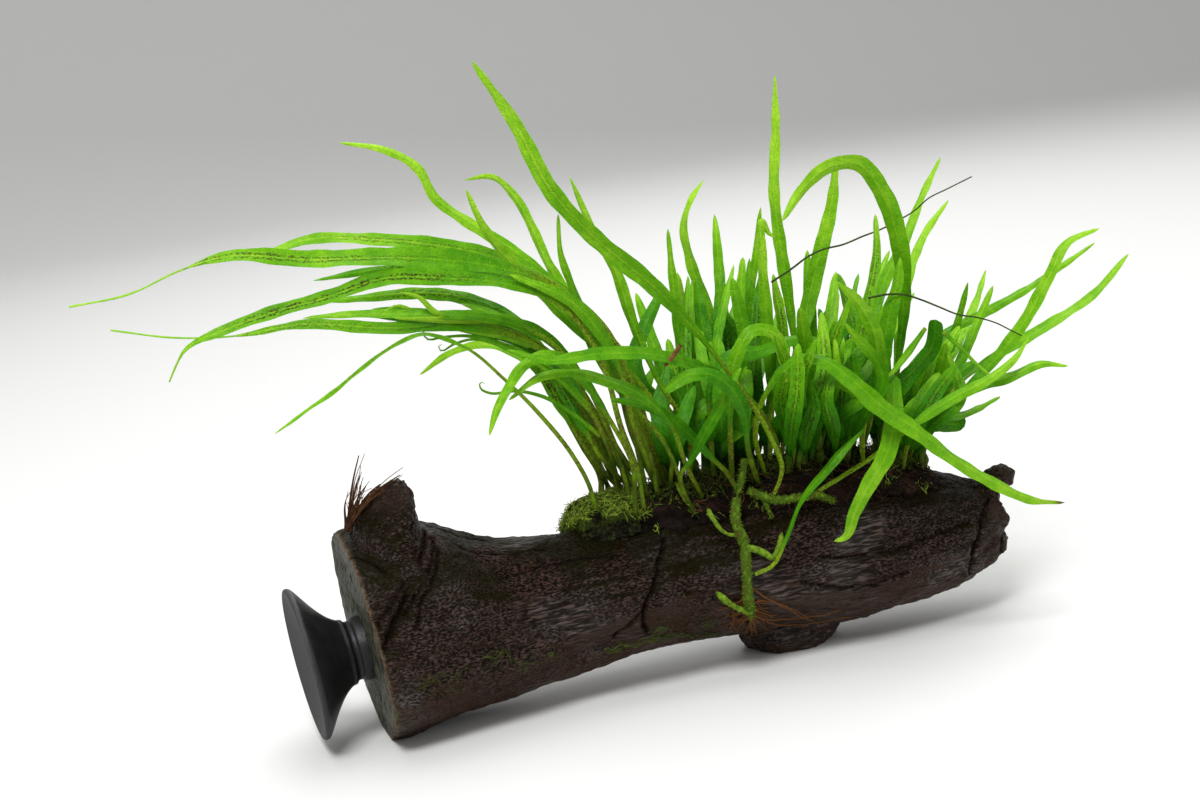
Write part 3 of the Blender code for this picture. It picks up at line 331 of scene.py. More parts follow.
def lofts(rings: Array, values: dict | None = None, places: Array | None = None) -> Surface:
    """Closed bodies through rings of points, many at once.

    Quads join each ring to the next, and a fan closes each end on the middle of its ring. A body whose
    volume, a sixth of the sum of its triangles' triple products, comes out negative has its faces turned.

    Args:
        rings: Points, by body, ring, side and axis.
        values: Named values, by body, ring and side, or anything that fits them.
        places: Texture places in millimetres, by body, ring, side and axis.

    Returns:
        All the bodies as one surface.
    """
    bodies, count, sides, _ = rings.shape

    def with_ends(rows: Array) -> Array:
        """Values by body and point, with the means of the first and the last ring added."""
        ends = rows[:, (0, -1)].mean(axis=2)
        return np.concatenate([rows.reshape(bodies, count * sides, -1), ends], axis=1)

    row, side = np.meshgrid(np.arange(count - 1), np.arange(sides), indexing="ij")
    near, far = row * sides + side, row * sides + (side + 1) % sides
    quads = np.stack([near, far, far + sides, near + sides], axis=-1).reshape(-1, 4)
    here = np.arange(sides)
    after, last = (here + 1) % sides, (count - 1) * sides
    first_fan = np.column_stack([after, here, np.full(sides, count * sides)])
    last_fan = np.column_stack([last + here, last + after, np.full(sides, count * sides + 1)])
    fans = np.concatenate([first_fan, last_fan])
    points = with_ends(rings)
    split = np.concatenate([quads[:, :3], quads[:, (0, 2, 3)], fans])
    corners = points[:, split] - points[:, :1, None]
    volume = np.einsum("btk,btk->b", corners[:, :, 0], np.cross(corners[:, :, 1], corners[:, :, 2]))
    start = (np.arange(bodies) * points.shape[1])[:, None, None]
    turned = (volume < 0)[:, None, None]
    quads, fans = (np.where(turned, faces[:, ::-1], faces) + start for faces in (quads, fans))
    carried = {
        name: with_ends(np.broadcast_to(value, (bodies, count, sides))[..., None]).ravel()
        for name, value in (values or {}).items()
    }
    places = with_ends(np.zeros((bodies, count, sides, 2)) if places is None else places).reshape(-1, 2)
    return Surface(points.reshape(-1, 3), quads.reshape(-1, 4), fans.reshape(-1, 3), carried, places)


def rings_round(lines: Array, radii: object, sides: int) -> Array:
    """Rings that stand square to lines at each of their points.

    A ring's point = line + radius * (cos t * across + sin t * inward), where across is square to the line
    and to the sight line.
    """
    across, inward = (way[..., None, :] for way in VIEW.frames_along(lines))
    turn = full_turn(sides)[:, None]
    radii = np.broadcast_to(radii, lines.shape[:-1])[..., None, None]
    return lines[..., None, :] + radii * (np.cos(turn) * across + np.sin(turn) * inward)


def strands(lines: Array, radii: Array, sides: int, tone: object) -> Surface:
    """Round tapering strands, many at once.

    Args:
        lines: Points, by strand, step and axis.
        radii: By strand and step, or anything that fits them.
        sides: Points in a ring.
        tone: By strand and step, or anything that fits them.

    Returns:
        All the strands as one surface.
    """
    tone = np.broadcast_to(tone, lines.shape[:2])[..., None]
    return lofts(rings_round(lines, radii, sides), {"tone": tone})


def tube(line: Array, girth: Array, sides: int) -> Array:
    """Rings along one line, closed at its end by narrowing over the last few."""
    end = np.sqrt(np.clip(np.arange(len(line))[::-1] / 5, 0.02, 1))
    return rings_round(line[None], girth * end, sides)


def roughened(rings: Array, scale: object, amount: float, seed: int, layers: int = 3) -> Array:
    """Rings whose points are moved off their ring's middle by layered noise at the points times a scale."""
    out = unit(rings - rings.mean(axis=2, keepdims=True))
    return rings + out * (amount * layered_noise(rings * scale, seed, layers))[..., None]


@dataclass(frozen=True)
class Wire:
    """What leaves a node. Sums, products and remaps of it are more nodes on the same board."""

    board: NodeBoard
    socket: bpy.types.NodeSocket

    def __add__(self, other: object) -> Wire:
        """The sum with a number or another wire."""
        return self.board.maths("ADD", self, other)

    def __sub__(self, other: object) -> Wire:
        """What is left when a number or another wire is taken away."""
        return self.board.maths("SUBTRACT", self, other)

    def __rsub__(self, other: float) -> Wire:
        """A number less this."""
        return self.board.maths("SUBTRACT", other, self)

    def __mul__(self, other: object) -> Wire:
        """The product with a number or another wire."""
        return self.board.maths("MULTIPLY", self, other)

    def __abs__(self) -> Wire:
        """The size without the sign."""
        return self.board.maths("ABSOLUTE", self)

    def remap(self, low: float, high: float, start: float = 0.0, end: float = 1.0) -> Wire:
        """The range low to high carried to the range start to end, smoothly and held at the ends."""
        inputs = {"Value": self, "From Min": low, "From Max": high, "To Min": start, "To Max": end}
        return self.board.add("ShaderNodeMapRange", "Result", inputs, interpolation_type="SMOOTHSTEP")


class NodeBoard:
    """Lays out the nodes of one material."""

    def __init__(self, name: str) -> None:
        """Starts an empty material of that name."""
        self.material = bpy.data.materials.new(name)
        self.material.use_nodes = True
        self.tree = self.material.node_tree
        self.tree.nodes.clear()

    def node(self, kind: str, inputs: dict, **settings: object) -> bpy.types.Node:
        """A node of a kind, with its settings and with its inputs set to values or linked to wires.

        Args:
            kind: The name of its type.
            inputs: Values or wires, by the name or number of the input.
            settings: The node's own settings.

        Returns:
            The node.
        """
        node = self.tree.nodes.new(kind)
        for key, value in settings.items():
            setattr(node, key, value)
        for key, value in inputs.items():
            socket = node.inputs[key]
            if isinstance(value, Wire):
                self.tree.links.new(value.socket, socket)
            else:
                socket.default_value = (*value, 1) if socket.type == "RGBA" else value
        return node

    def add(self, kind: str, output: object, inputs: dict | None = None, **settings: object) -> Wire:
        """One output of a new node."""
        return Wire(self, self.node(kind, inputs or {}, **settings).outputs[output])

    def attribute(self, name: str) -> Wire:
        """A value that the mesh's points carry."""
        return self.add("ShaderNodeAttribute", "Fac", attribute_name=name)

    def stretched(self, place: Wire, scale: tuple[float, float, float]) -> Wire:
        """A place scaled along each axis."""
        return self.add("ShaderNodeMapping", "Vector", {"Vector": place, "Scale": scale})

    def noise(self, scale: float, detail: float = 3.0, stretch: tuple | None = None) -> Wire:
        """Cloudy noise about 0.5 over the object, which may be stretched along each axis."""
        place = self.add("ShaderNodeTexCoord", "Object")
        place = self.stretched(place, stretch) if stretch else place
        return self.add("ShaderNodeTexNoise", "Fac", {"Vector": place, "Scale": scale, "Detail": detail})

    def cells(self, place: Wire, scale: float, randomness: float, feature: str) -> Wire:
        """A distance in random flat cells: F1 from the middle, DISTANCE_TO_EDGE from the edge."""
        inputs = {"Vector": place, "Scale": scale, "Randomness": randomness}
        return self.add("ShaderNodeTexVoronoi", "Distance", inputs, feature=feature, voronoi_dimensions="2D")

    def maths(self, operation: str, first: object, second: object = 0) -> Wire:
        """The result of a sum, product or other operation on one or two numbers."""
        return self.add("ShaderNodeMath", 0, {0: first, 1: second}, operation=operation)

    def painted(self, colour: object, *coats: tuple[object, object]) -> Wire:
        """A colour with coats over it, each a share and a colour."""
        for share, coat in coats:
            colour = self.add("ShaderNodeMix", 2, {0: share, 6: colour, 7: coat}, data_type="RGBA")
        return colour

    def ramp(self, factor: Wire, *stops: tuple) -> Wire:
        """A colour read from stops, each a place between 0 and 1 and a colour.

        Args:
            factor: Where to read.
            stops: In rising order.

        Returns:
            The colour.
        """
        node = self.node("ShaderNodeValToRGB", {0: factor})
        elements = node.color_ramp.elements
        while len(elements) < len(stops):
            elements.new(0.5)
        for element, (place, colour) in zip(elements, stops):
            element.position = place
            element.color = (*colour, 1)
        return Wire(self, node.outputs["Color"])

    def bump(self, height: Wire, distance: float) -> Wire:
        """The normal of a surface raised by height times a distance in metres."""
        return self.add("ShaderNodeBump", "Normal", {"Height": height, "Distance": distance, "Strength": 1})

    def shader(self, colour: Wire, rough: object, normal: Wire, gloss: object) -> Wire:
        """A plain surface of a colour, a roughness, a normal and a specular level."""
        inputs = {"Base Color": colour, "Roughness": rough, "Normal": normal, "Specular IOR Level": gloss}
        return self.add("ShaderNodeBsdfPrincipled", 0, inputs)

    def finish(self, surface: Wire) -> bpy.types.Material:
        """Sends a shader to the material's output and gives the material."""
        self.node("ShaderNodeOutputMaterial", {"Surface": surface})
        return self.material


@dataclass(frozen=True)
class WetBark:
    """Very dark, wet, finely wrinkled bark, with a sawn face, a broken end and green growth where marked."""

    # deep is the near black of the painted shade in the relief's hollows and in the cracks, and the colour of
    # the sawn face's pores.
    deep: tuple = (0.004, 0.0025, 0.0017)
    brown: tuple = (0.0195, 0.0112, 0.0076)
    ruddy: tuple = (0.06, 0.03, 0.0215)
    olive: tuple = (0.0075, 0.006, 0.0015)
    smooth: tuple = (0.032, 0.017, 0.0105)
    broken: tuple = (0.036, 0.022, 0.016)
    sawn_dark: tuple = (0.026, 0.026, 0.018)
    sawn_pale: tuple = (0.132, 0.134, 0.094)
    rust: tuple = (0.14, 0.05, 0.012)
    algae: tuple = (0.035, 0.07, 0.006)
    relief: float = 0.0011

    def material(self) -> bpy.types.Material:
        """Browns mixed by noise and darker in the relief's hollows as painted shade, then the marked places
        over them, with painted shade in the cracks and a wet gloss on the wrinkles.
        """
        board = NodeBoard("wet_bark")
        cloud = board.noise(48)
        wrinkle = board.noise(1900, stretch=(0.5, 1, 1.1))
        lines = board.noise(1600, stretch=(0.12, 0.9, 1))
        pores = board.noise(1500, 4, stretch=(1, 1, 0.22))
        lined = board.noise(38, 1).remap(0.52, 0.6)
        threads = board.noise(700, 4).remap(0.53, 0.62)
        facing = board.add("ShaderNodeNewGeometry", "Normal")
        upward = board.add("ShaderNodeSeparateXYZ", "Z", {0: facing})
        sawn, crack = board.attribute("sawn"), board.attribute("crack")
        relief = wrinkle * (1 - lined) + lines * lined
        under = upward.remap(-0.05, -0.5) * cloud.remap(0.35, 0.5, 0.6, 1)
        colour = board.painted(
            # From deep in the relief's low places to ruddy on its ridges: partly the bark's own browns,
            # partly painted shade in the hollows.
            board.ramp(relief, (0.42, self.deep), (0.52, self.brown), (0.66, self.ruddy)),
            (cloud.remap(0.48, 0.72, 0, 0.6), self.brown),
            (under, self.smooth),
            (upward.remap(0.15, 0.7, 0, 0.95) * cloud.remap(0.38, 0.52), self.olive),
            (board.attribute("broken"), board.ramp(lines, (0.36, self.brown), (0.66, self.broken))),
            (sawn, board.ramp(pores, (0.34, self.deep), (0.42, self.sawn_dark), (0.58, self.sawn_pale))),
            (board.attribute("rim") * cloud.remap(0.35, 0.5, 0.3, 1), self.rust),
            (board.attribute("algae") * threads, self.algae),
            # The crack mark paints shade, in deep, into the cracks and the furrows.
            (crack, self.deep),
        )
        rough = relief.remap(0.36, 0.62, 0.22, 0.4) + sawn * 0.2
        worn = 1 - under * 0.6
        wet = board.noise(42, 2).remap(0.44, 0.66, 0.3, 1) * relief.remap(0.46, 0.64, 0.16, 0.8)
        wet = wet * worn * upward.remap(0.15, 0.7, 1, 0.25) * (1 - crack)
        normal = board.bump(relief * worn + sawn * pores * 0.3, self.relief)
        return board.finish(board.shader(colour, rough, normal, wet))


@dataclass(frozen=True)
class CupRubber:
    """Soft black rubber, dusty grey on the face that meets the glass."""

    black: tuple = (0.0035, 0.0036, 0.004)
    worn: tuple = (0.009, 0.0092, 0.01)
    dust: tuple = (0.048, 0.05, 0.05)
    relief: float = 0.00012
    gloss: float = 0.3

    def material(self) -> bpy.types.Material:
        """Black with faint cloudy wear, and dust in fine grains where the face and the lip are marked."""
        board = NodeBoard("cup_rubber")
        cloud, grains = board.noise(160, 4), board.noise(2600, 5)
        dusty = board.attribute("dust")
        colour = board.painted(
            board.ramp(cloud, (0.35, self.black), (0.7, self.worn)),
            (dusty * grains.remap(0.3, 0.75, 0.35, 1), self.dust),
            (dusty * grains.remap(0.3, 0.38, 1, 0), self.black),
        )
        rough = (cloud + dusty).remap(0.4, 1.5, 0.36, 0.66)
        return board.finish(board.shader(colour, rough, board.bump(grains + cloud, self.relief), self.gloss))


@dataclass(frozen=True)
class Fibre:
    """Matt fibres and felt, coloured along a range by the tone that their points carry."""

    name: str
    dark: tuple
    middle: tuple
    light: tuple
    grain: float = 900.0
    relief: float = 0.0004
    rough: float = 0.72
    gloss: float = 0.1

    def material(self) -> bpy.types.Material:
        """Colours read off a ramp at the tone, shifted by noise, over a fine bump."""
        board = NodeBoard(self.name)
        fine = board.noise(self.grain, 4)
        tone = board.attribute("tone") + (fine - 0.5) * 0.7
        colour = board.ramp(tone, (0.05, self.dark), (0.5, self.middle), (0.95, self.light))
        return board.finish(board.shader(colour, self.rough, board.bump(fine, self.relief), self.gloss))


@dataclass(frozen=True)
class LeafSkin:
    """A thin leaf: green by its tone, with a rib, veins, rows of spore spots and brown where withered."""

    dark: tuple = (0.012, 0.085, 0.001)
    green: tuple = (0.046, 0.25, 0.002)
    bright: tuple = (0.17, 0.47, 0.005)
    # The pale yellow-green tip colour is partly the leaves' own paler tips and partly painted glow of the
    # light shining through them.
    tip: tuple = (0.43, 0.73, 0.04)
    stalk: tuple = (0.3, 0.48, 0.014)
    stalk_dark: tuple = (0.045, 0.1, 0.004)
    stalk_brown: tuple = (0.15, 0.07, 0.014)
    spores: tuple = (0.06, 0.022, 0.006)
    dead: tuple = (0.26, 0.13, 0.035)
    dead_dark: tuple = (0.085, 0.038, 0.014)
    vein_pitch: float = 1.25
    # In metres: how far the row of spores lies from the rib, and how far it drifts.
    spore_row: float = 0.00058
    spore_drift: float = 0.0016
    see_through: float = 0.38
    rough: float = 0.4
    gloss: float = 0.14
    relief: float = 0.00022

    def material(self) -> bpy.types.Material:
        """Colours by the tone, veins by cells on the leaf's own map, and a share of light passed through."""
        board = NodeBoard("fern_leaf")
        leaf_map = board.add("ShaderNodeTexCoord", "UV")
        aside = abs(board.add("ShaderNodeSeparateXYZ", "X", {0: leaf_map}))
        cloud, blotch, fine = board.noise(75), board.noise(380), board.noise(1500)
        tone = board.attribute("tone") + ((cloud - 0.5) * 0.3 + (blotch - 0.5) * 0.34)
        stops = ((0.05, self.dark), (0.42, self.green), (0.72, self.bright), (1, self.tip))
        colour, paler = board.ramp(tone, *stops), board.ramp(tone + 0.2, *stops)
        bare = board.attribute("stalk")
        vein_map = board.stretched(leaf_map, (1, 0.6, 1))
        veins = board.cells(vein_map, 1000 / self.vein_pitch, 0.9, "DISTANCE_TO_EDGE")
        net = veins.remap(0, 0.12, 1, 0) * (1 - bare)
        mottle = (fine + cloud * 0.4).remap(0.62, 0.86)
        shaft = board.painted(self.stalk_dark, (tone.remap(0.16, 0.46), self.stalk))
        shaft = board.painted(shaft, (mottle, self.stalk_brown))
        drift = (board.noise(620, 2) - 0.5) * self.spore_drift
        row = abs(aside + drift - self.spore_row).remap(0.00012, 0.00045, 1, 0)
        dots = board.cells(leaf_map, 1400, 1, "F1").remap(0.3, 0.66, 1, 0) * row
        dots = dots * blotch.remap(0.36, 0.5, 0.25, 1) * board.attribute("spores")
        colour = board.painted(
            colour,
            (net * 0.42, paler),
            (aside.remap(0.00012, 0.00034, 1, 0) * 0.5, paler),
            (bare * 0.78, shaft),
            (dots, self.spores),
            (board.attribute("withered"), board.painted(self.dead, (mottle, self.dead_dark))),
        )
        normal = board.bump(net * -0.6 + fine * 0.4 + blotch * 1.2 + dots * 0.8, self.relief)
        skin = board.shader(colour, self.rough, normal, self.gloss)
        light = {"Color": board.painted(colour, (0.35, paler)), "Normal": normal}
        through = board.add("ShaderNodeBsdfTranslucent", 0, light)
        return board.finish(board.add("ShaderNodeMixShader", 0, {0: self.see_through, 1: skin, 2: through}))


@dataclass
class Outline:
    """A long body's sections: rows that start with x, read along a smooth curve through them."""

    rows: tuple
    samples: int
    curve: Array = field(init=False)

    def __post_init__(self) -> None:
        """Lays the curve through the rows."""
        self.curve = smooth_line(self.rows, self.samples)

    def columns(self, x: object) -> tuple[Array, ...]:
        """The other numbers of the row at x."""
        return tuple(np.interp(x, self.curve[:, 0], column) for column in self.curve[:, 1:].T)


# The wood's outline: distance along it, underside, upper side and half of its depth.
WOOD_ROWS = (
    (-80, -1.2, 58.6, 28.6),
    (-70, -1, 58, 28.6),
    (-60, 0.7, 57, 27),
    (-52, 2.1, 55.2, 25.4),
    (-44, 3, 51.6, 23.6),
    (-36, 4.2, 48.4, 22),
    (-27, 5.8, 47.2, 20.9),
    (-14, 7.6, 46.4, 19.9),
    (0, 8.8, 46.2, 19.4),
    (12, 9.2, 48, 19.9),
    (26, 9.2, 49.8, 20.6),
    (40, 8.2, 51.1, 21.5),
    (54, 6.4, 51.3, 22),
    (68, 4.7, 50.2, 21.8),
    (80, 5.4, 47.8, 20.6),
    (92, 6.3, 44.8, 18.4),
    (103, 8.8, 40.4, 15.6),
    (111, 12.2, 37, 12.8),
    (117, 16, 34.9, 10.2),
    (122, 22, 32.2, 7),
    (126, 24, 31, 5),
)

# The felt of roots, with the moss at its left end: distance along the wood, middle height, half height and
# half of its depth.
FELT_ROWS = (
    (-15, 44.5, 3, 6),
    (-11, 45, 7.2, 11),
    (-6, 45.5, 9.2, 13),
    (2, 45.5, 9.4, 14),
    (10, 45.5, 8.6, 14.5),
    (20, 46, 7.8, 15),
    (30, 46.4, 7.8, 15.5),
    (45, 46.6, 8.8, 16.2),
    (60, 46.4, 8.9, 16.4),
    (74, 45.2, 8.3, 15.6),
    (84, 43.2, 7.4, 14),
    (92, 41.4, 5.6, 11),
    (97, 40, 3.4, 7),
)


@dataclass
class Ground:
    """The forms of the wood and of the felt on it, which all that grows there follows."""

    wood: Outline = field(default_factory=lambda: Outline(WOOD_ROWS, 240))
    felt: Outline = field(default_factory=lambda: Outline(FELT_ROWS, 160))

    def wood_section(self, x: object) -> tuple[Array, Array, Array]:
        """Middle height, half height and half depth of the wood at x."""
        low, high, half_depth = self.wood.columns(x)
        return (low + high) / 2, (high - low) / 2, half_depth

    @staticmethod
    def oval(x: Array, angle: Array, section: tuple, extra: Array) -> Array:
        """Points at each x and angle, up from the front, of a section that is moved out by extra."""
        middle, half_height, half_depth = section
        depth = -(half_depth + extra) * np.cos(angle)
        height = middle + (half_height + extra) * np.sin(angle)
        return np.stack(np.broadcast_arrays(x, depth, height), axis=-1)

    def wood_surface(self, x: Array, angle: Array, grow: object = 0) -> Array:
        """Points of the bark: an oval at each x, with ridges, furrows and two knots, moved out by grow.

        The long ridges are sines of the angle that drift along x, and each knot and the crack is a hill or a
        pit of the form exp(-(dx / a)^2 - (da / b)^2).

        Args:
            x: Distance along the wood.
            angle: The turn about the wood, up from the front.
            grow: How far to move each point out.

        Returns:
            One point for each x and angle.
        """
        waves = 0.55 * np.sin(5 * angle + 0.045 * x + 0.8) + 0.4 * np.sin(8 * angle - 0.07 * x + 2)
        swell = 0.45 * np.sin(0.11 * x + 2 * angle) * np.cos(angle) ** 2
        knots = 2.2 * hill((x + 57) / 9, (angle - 0.75) / 0.5) + 1.5 * hill((x - 96) / 8, (angle + 0.2) / 0.5)
        crack = 1.2 * hill((x - 13 - 3 * angle) / 1.8, (angle - 0.1) / 0.8)
        return self.oval(x, angle, self.wood_section(x), waves + swell + knots - crack + grow)

    def felt_surface(self, x: Array, angle: Array, grow: object = 0) -> Array:
        """Points of the felt and the moss, an oval at each x with low lumps, moved out by grow."""
        extra = 0.5 * np.sin(0.55 * x + 3 * angle) + 0.4 * np.sin(0.31 * x - 4 * angle + 1) + grow
        return self.oval(x, angle, self.felt.columns(x), extra)

    def felt_top(self, x: float, depth: float) -> float:
        """Height of the felt at x and a depth."""
        rim = self.felt_surface(np.full(181, x), np.linspace(0, math.pi, 181))
        return float(np.interp(depth, rim[:, 1], rim[:, 2]))

    def excess(self, points: Array) -> Array:
        """How far points lie outside the wood and the felt, roughly.

        Args:
            points: Places, one in each row.

        Returns:
            A distance for each, below 0 inside.
        """
        x, depth, height = points.T
        gaps = []
        for middle, half_height, half_depth in (self.wood_section(x), self.felt.columns(x)):
            reach = np.hypot(depth / half_depth, (height - middle) / half_height)
            gaps.append((reach - 1) * np.minimum(half_height, half_depth))
        inside = (x > FELT_ROWS[0][0]) & (x < FELT_ROWS[-1][0])
        return np.minimum(gaps[0], np.where(inside, gaps[1], np.inf))

    def resting_depth(self, right: float, up: float, lift: float) -> float:
        """Depth of the first place on a sight line that lies no more than lift off the wood or the felt."""
        depths = np.linspace(-60, 5, 261)
        near = self.excess(VIEW.seen(right, up, depths)) <= lift
        return float(depths[np.argmax(near)]) if near.any() else -lift

    def view_line(self, route: tuple, lift: float, count: int) -> Array:
        """A smooth line that lies on the wood and felt along places given in the view."""
        places = [VIEW.seen(right, up, self.resting_depth(right, up, lift)) for right, up in route]
        return smooth_line(places, count)


GROUND = Ground()


@dataclass
class Driftwood:
    """The log with its sawn and its broken end, the stub of a fork, the foot below and the knob."""

    rings: int = 400
    sides: int = 206
    cap_rings: int = 26
    sawn_x: float = -75.8
    sawn_slope: float = -0.09
    sawn_middle: float = 28.5
    broken_x: float = 118.0
    broken_slant: float = 3.2
    broken_jag: float = 0.9
    # Where the torn end meets the bark: its x at the front and how far that moves with the height.
    torn_x: float = 106.5
    torn_swing: float = 6.5
    # Cracks in the bark, each with its places in the view, its width and its depth.
    cracks: tuple = (
        (((-49.5, -37), (-49.8, -44), (-51, -49), (-55, -56), (-58.5, -64), (-60, -69)), 0.85, 1.8),
        (((-46.5, -40), (-47.5, -47), (-51, -53), (-54.5, -60)), 0.55, 1.1),
        (((-45, -43.5), (-47, -50), (-50, -57), (-51.5, -64)), 0.5, 0.9),
        (((-52, -43), (-54, -50), (-58.5, -57), (-62, -62)), 0.5, 0.9),
        (((-48, -33.5), (-42, -36.5), (-34, -38.5), (-24, -39), (-12, -37.5)), 0.6, 1),
        (((-46, -38), (-38, -42), (-28, -43), (-16, -41.5)), 0.5, 0.8),
        (((18, -37), (16.5, -44), (15.5, -50), (13.5, -55), (12, -60), (13.5, -66)), 0.6, 1.2),
        (((12.5, -58), (8, -63.5), (4.5, -67)), 0.5, 0.8),
        (((-72.5, -44), (-66, -45.5), (-60, -49)), 0.5, 0.9),
        (((-30, -50), (-12, -45), (6, -43)), 0.45, 0.7),
        (((62, -44), (78, -43), (93, -38), (103, -34)), 0.5, 0.9),
        (((56, -51), (70, -52), (86, -48)), 0.45, 0.7),
        (((112, -23), (107, -32), (106, -38), (105, -43), (103, -48)), 0.7, 1),
        (((120, -24), (116, -30), (113.5, -38), (111, -44)), 0.5, 0.9),
    )
    # Green growth on the bark: its place in the view and its size.
    algae_places: tuple = ((-29, -72.5, 2.2), (-21, -73.5, 2.6), (-47, -80, 2.6), (-40, -79, 2.4),
                           (-14, -71, 2), (18, -64.5, 2.4), (30, -63, 2.4))
    # Level rings of the fork: middle's x, depth and height, half length and half depth.
    fork: tuple = (
        (-62.5, -2, 45, 13.6, 22.6),
        (-64.6, -2, 49.5, 11.8, 19),
        (-66, -2, 53.5, 10.6, 16.4),
        (-66.6, -2, 57, 9.9, 15.2),
        (-65.8, -2, 62, 8.5, 12.8),
        (-64.1, -2.5, 66, 6.9, 9.5),
        (-62.3, -3, 69, 4.7, 6),
        (-60.4, -3, 70.8, 2, 2.6),
    )
    foot: tuple = (
        (49.5, 4, 0, 12.5, 10.5),
        (49.8, 4, 2.2, 14.4, 11.6),
        (50.2, 4, 6, 16.2, 12.4),
        (50.8, 4, 13, 18, 13.5),
    )
    # The knob's middle line and how thick it is along it.
    knob: tuple = ((108, -1, 31.5), (114.5, -1, 35.2), (119.5, -1.5, 37.6), (123.6, -2, 38.8))
    knob_girth: tuple = (4.4, 4.6, 4.4, 3.9, 3.8, 3.6, 1.6)

    def marks(self, x: Array, angle: Array) -> tuple[Array, Array]:
        """The cracks' depth and how strongly painted shade darkens them, measured on the bark as if unrolled.

        Args:
            x: Distance along the wood.
            angle: The turn about the wood.

        Returns:
            Two numbers for each x and angle.
        """

        def unrolled(x: Array, angle: Array) -> Array:
            """Places on the bark rolled out flat."""
            _, half_height, half_depth = GROUND.wood_section(x)
            return np.stack([x, angle * (half_height + half_depth) / 2, 0 * x], axis=-1)

        spread = unrolled(x, (angle + math.pi) % (2 * math.pi) - math.pi)
        depth, dark = np.zeros(x.shape), np.zeros(x.shape)
        for route, width, deep in self.cracks:
            line = GROUND.view_line(route, 0, 50)
            middle, half_height, half_depth = GROUND.wood_section(line[:, 0])
            turn = np.arctan2((line[:, 2] - middle) / half_height, -line[:, 1] / half_depth)
            flat = unrolled(line[:, 0], turn)
            flat[:, :2] += 0.5 * axis_noise(line * 0.4, 5, 2)
            near = nearness(spread, flat, width)
            depth += deep * near
            dark = np.maximum(dark, near)
        return depth, dark

    def relief(self, x: Array, angle: Array, left: Array) -> tuple[Array, dict]:
        """How far the bark stands out at each x and angle, and the marks it carries.

        The relief adds stretched noise for the grain, noise for the wrinkles, and furrows where a third noise
        crosses zero, with a collar under the fork and another over the foot. Cracks are cut along lines laid
        in the view, and the edge at the sawn end is rounded.

        Args:
            x: Distance along the wood.
            angle: The turn about the wood.
            left: Where the sawn end lies, for each angle.

        Returns:
            The relief and the named marks.
        """
        plain = GROUND.wood_surface(x, angle)
        warp = 1.5 * lattice_noise(plain * 0.08, 11)[..., None]
        grain = layered_noise(plain * (0.07, 0.42, 0.42) + warp * 0.3, 12, 3)
        wrinkle = layered_noise(plain * (0.42, 0.75, 0.75), 21, 2)
        crossing = np.abs(lattice_noise(plain * (0.035, 0.17, 0.17) + warp * 0.25, 31))
        furrow = held(1 - crossing / 0.13)
        broken = smoothstep(-1.2, 1.2, x - self.torn_x - self.torn_swing * np.sin(angle))
        crag = layered_noise(plain * (0.2, 0.45, 0.45), 41, 3)
        cut, dark = self.marks(x, angle)
        _, depth, height = np.moveaxis(plain, -1, 0)
        collar = hill((x + 64.5) / 13.5, (depth + 2) / 17) * smoothstep(44, 56, height)
        root = hill((x - 50.5) / 18, (depth - 4) / 14) * smoothstep(22, 8, height)
        grow = (0.42 * grain + 0.26 * wrinkle - 0.3 * furrow) * (1 - 0.4 * broken) + 0.75 * broken * crag
        grow += 1.6 * collar + 1.4 * root - cut - 0.5 * hill((x - left) / 0.7)
        return grow, {
            "sawn": (1, hill((x - left) / 0.5), 0),
            "broken": (0, broken, 1),
            # The crack mark is painted shade: full over the cracks, faint along the furrows.
            "crack": (0, held(dark + 0.15 * furrow), 0),
        }

    def log(self) -> Surface:
        """The log: rings of the bark with its relief and a field of rings over each end, above the floor."""
        angle = full_turn(self.sides)[None]
        part = np.linspace(0, 1, self.rings)[:, None]
        half_height = GROUND.wood_section(self.sawn_x)[1]
        left = self.sawn_x + self.sawn_slope * half_height * np.sin(angle)
        jag = self.broken_jag * (np.sin(4 * angle + 1) + 0.6 * np.sin(7 * angle))
        right = self.broken_x - self.broken_slant * np.cos(angle) + jag
        x = left + (right - left) * part
        angle = angle + 0 * part
        grow, marks = self.relief(x, angle, left)
        points = GROUND.wood_surface(x, angle, grow)
        slide = self.sawn_x + self.sawn_slope * (points[0, :, 2] - self.sawn_middle) - points[0, :, 0]
        points[..., 0] += slide * held(1 - 8 * part)
        inner = np.linspace(1, 0.02, self.cap_rings)[1:, None, None]
        face, torn = (rim.mean(axis=0) + (rim - rim.mean(axis=0)) * inner for rim in (points[0], points[-1]))
        pores = np.clip(layered_noise(face * (0.9, 0.9, 0.45), 51, 3), -1, 0.3)
        face[..., 0] -= 0.32 * pores - 0.25 * np.sin(face[..., 2] * 0.55)
        torn[..., 0] += 1.3 * layered_noise(torn * (0.2, 0.32, 0.32), 61, 3) * (1 - inner[..., 0] ** 6)
        rings = np.concatenate([face[::-1], points, torn])[None]
        rings[..., 2] = np.maximum(rings[..., 2], 0)
        algae = np.zeros(rings.shape[:-1])
        for place_right, place_up, size in self.algae_places:
            middle = VIEW.seen(place_right, place_up, GROUND.resting_depth(place_right, place_up, 0))
            algae += nearness(rings, middle[None], size)
        algae += 0.9 * nearness(rings, np.array([[self.sawn_x, -22, 12], [self.sawn_x, -18, 7]]), 5.5)
        marks["rim"] = 0.8 * hill((inner[::-1, :, 0] - 0.99) / 0.012), 0.6 * hill((x - left) / 0.4), 0
        shapes = [(count, self.sides) for count in (len(face), self.rings, len(torn))]
        values = {"algae": held(algae)}
        for name, levels in marks.items():
            values[name] = np.concatenate([np.broadcast_to(*pair) for pair in zip(levels, shapes)])
        return lofts(rings, values)

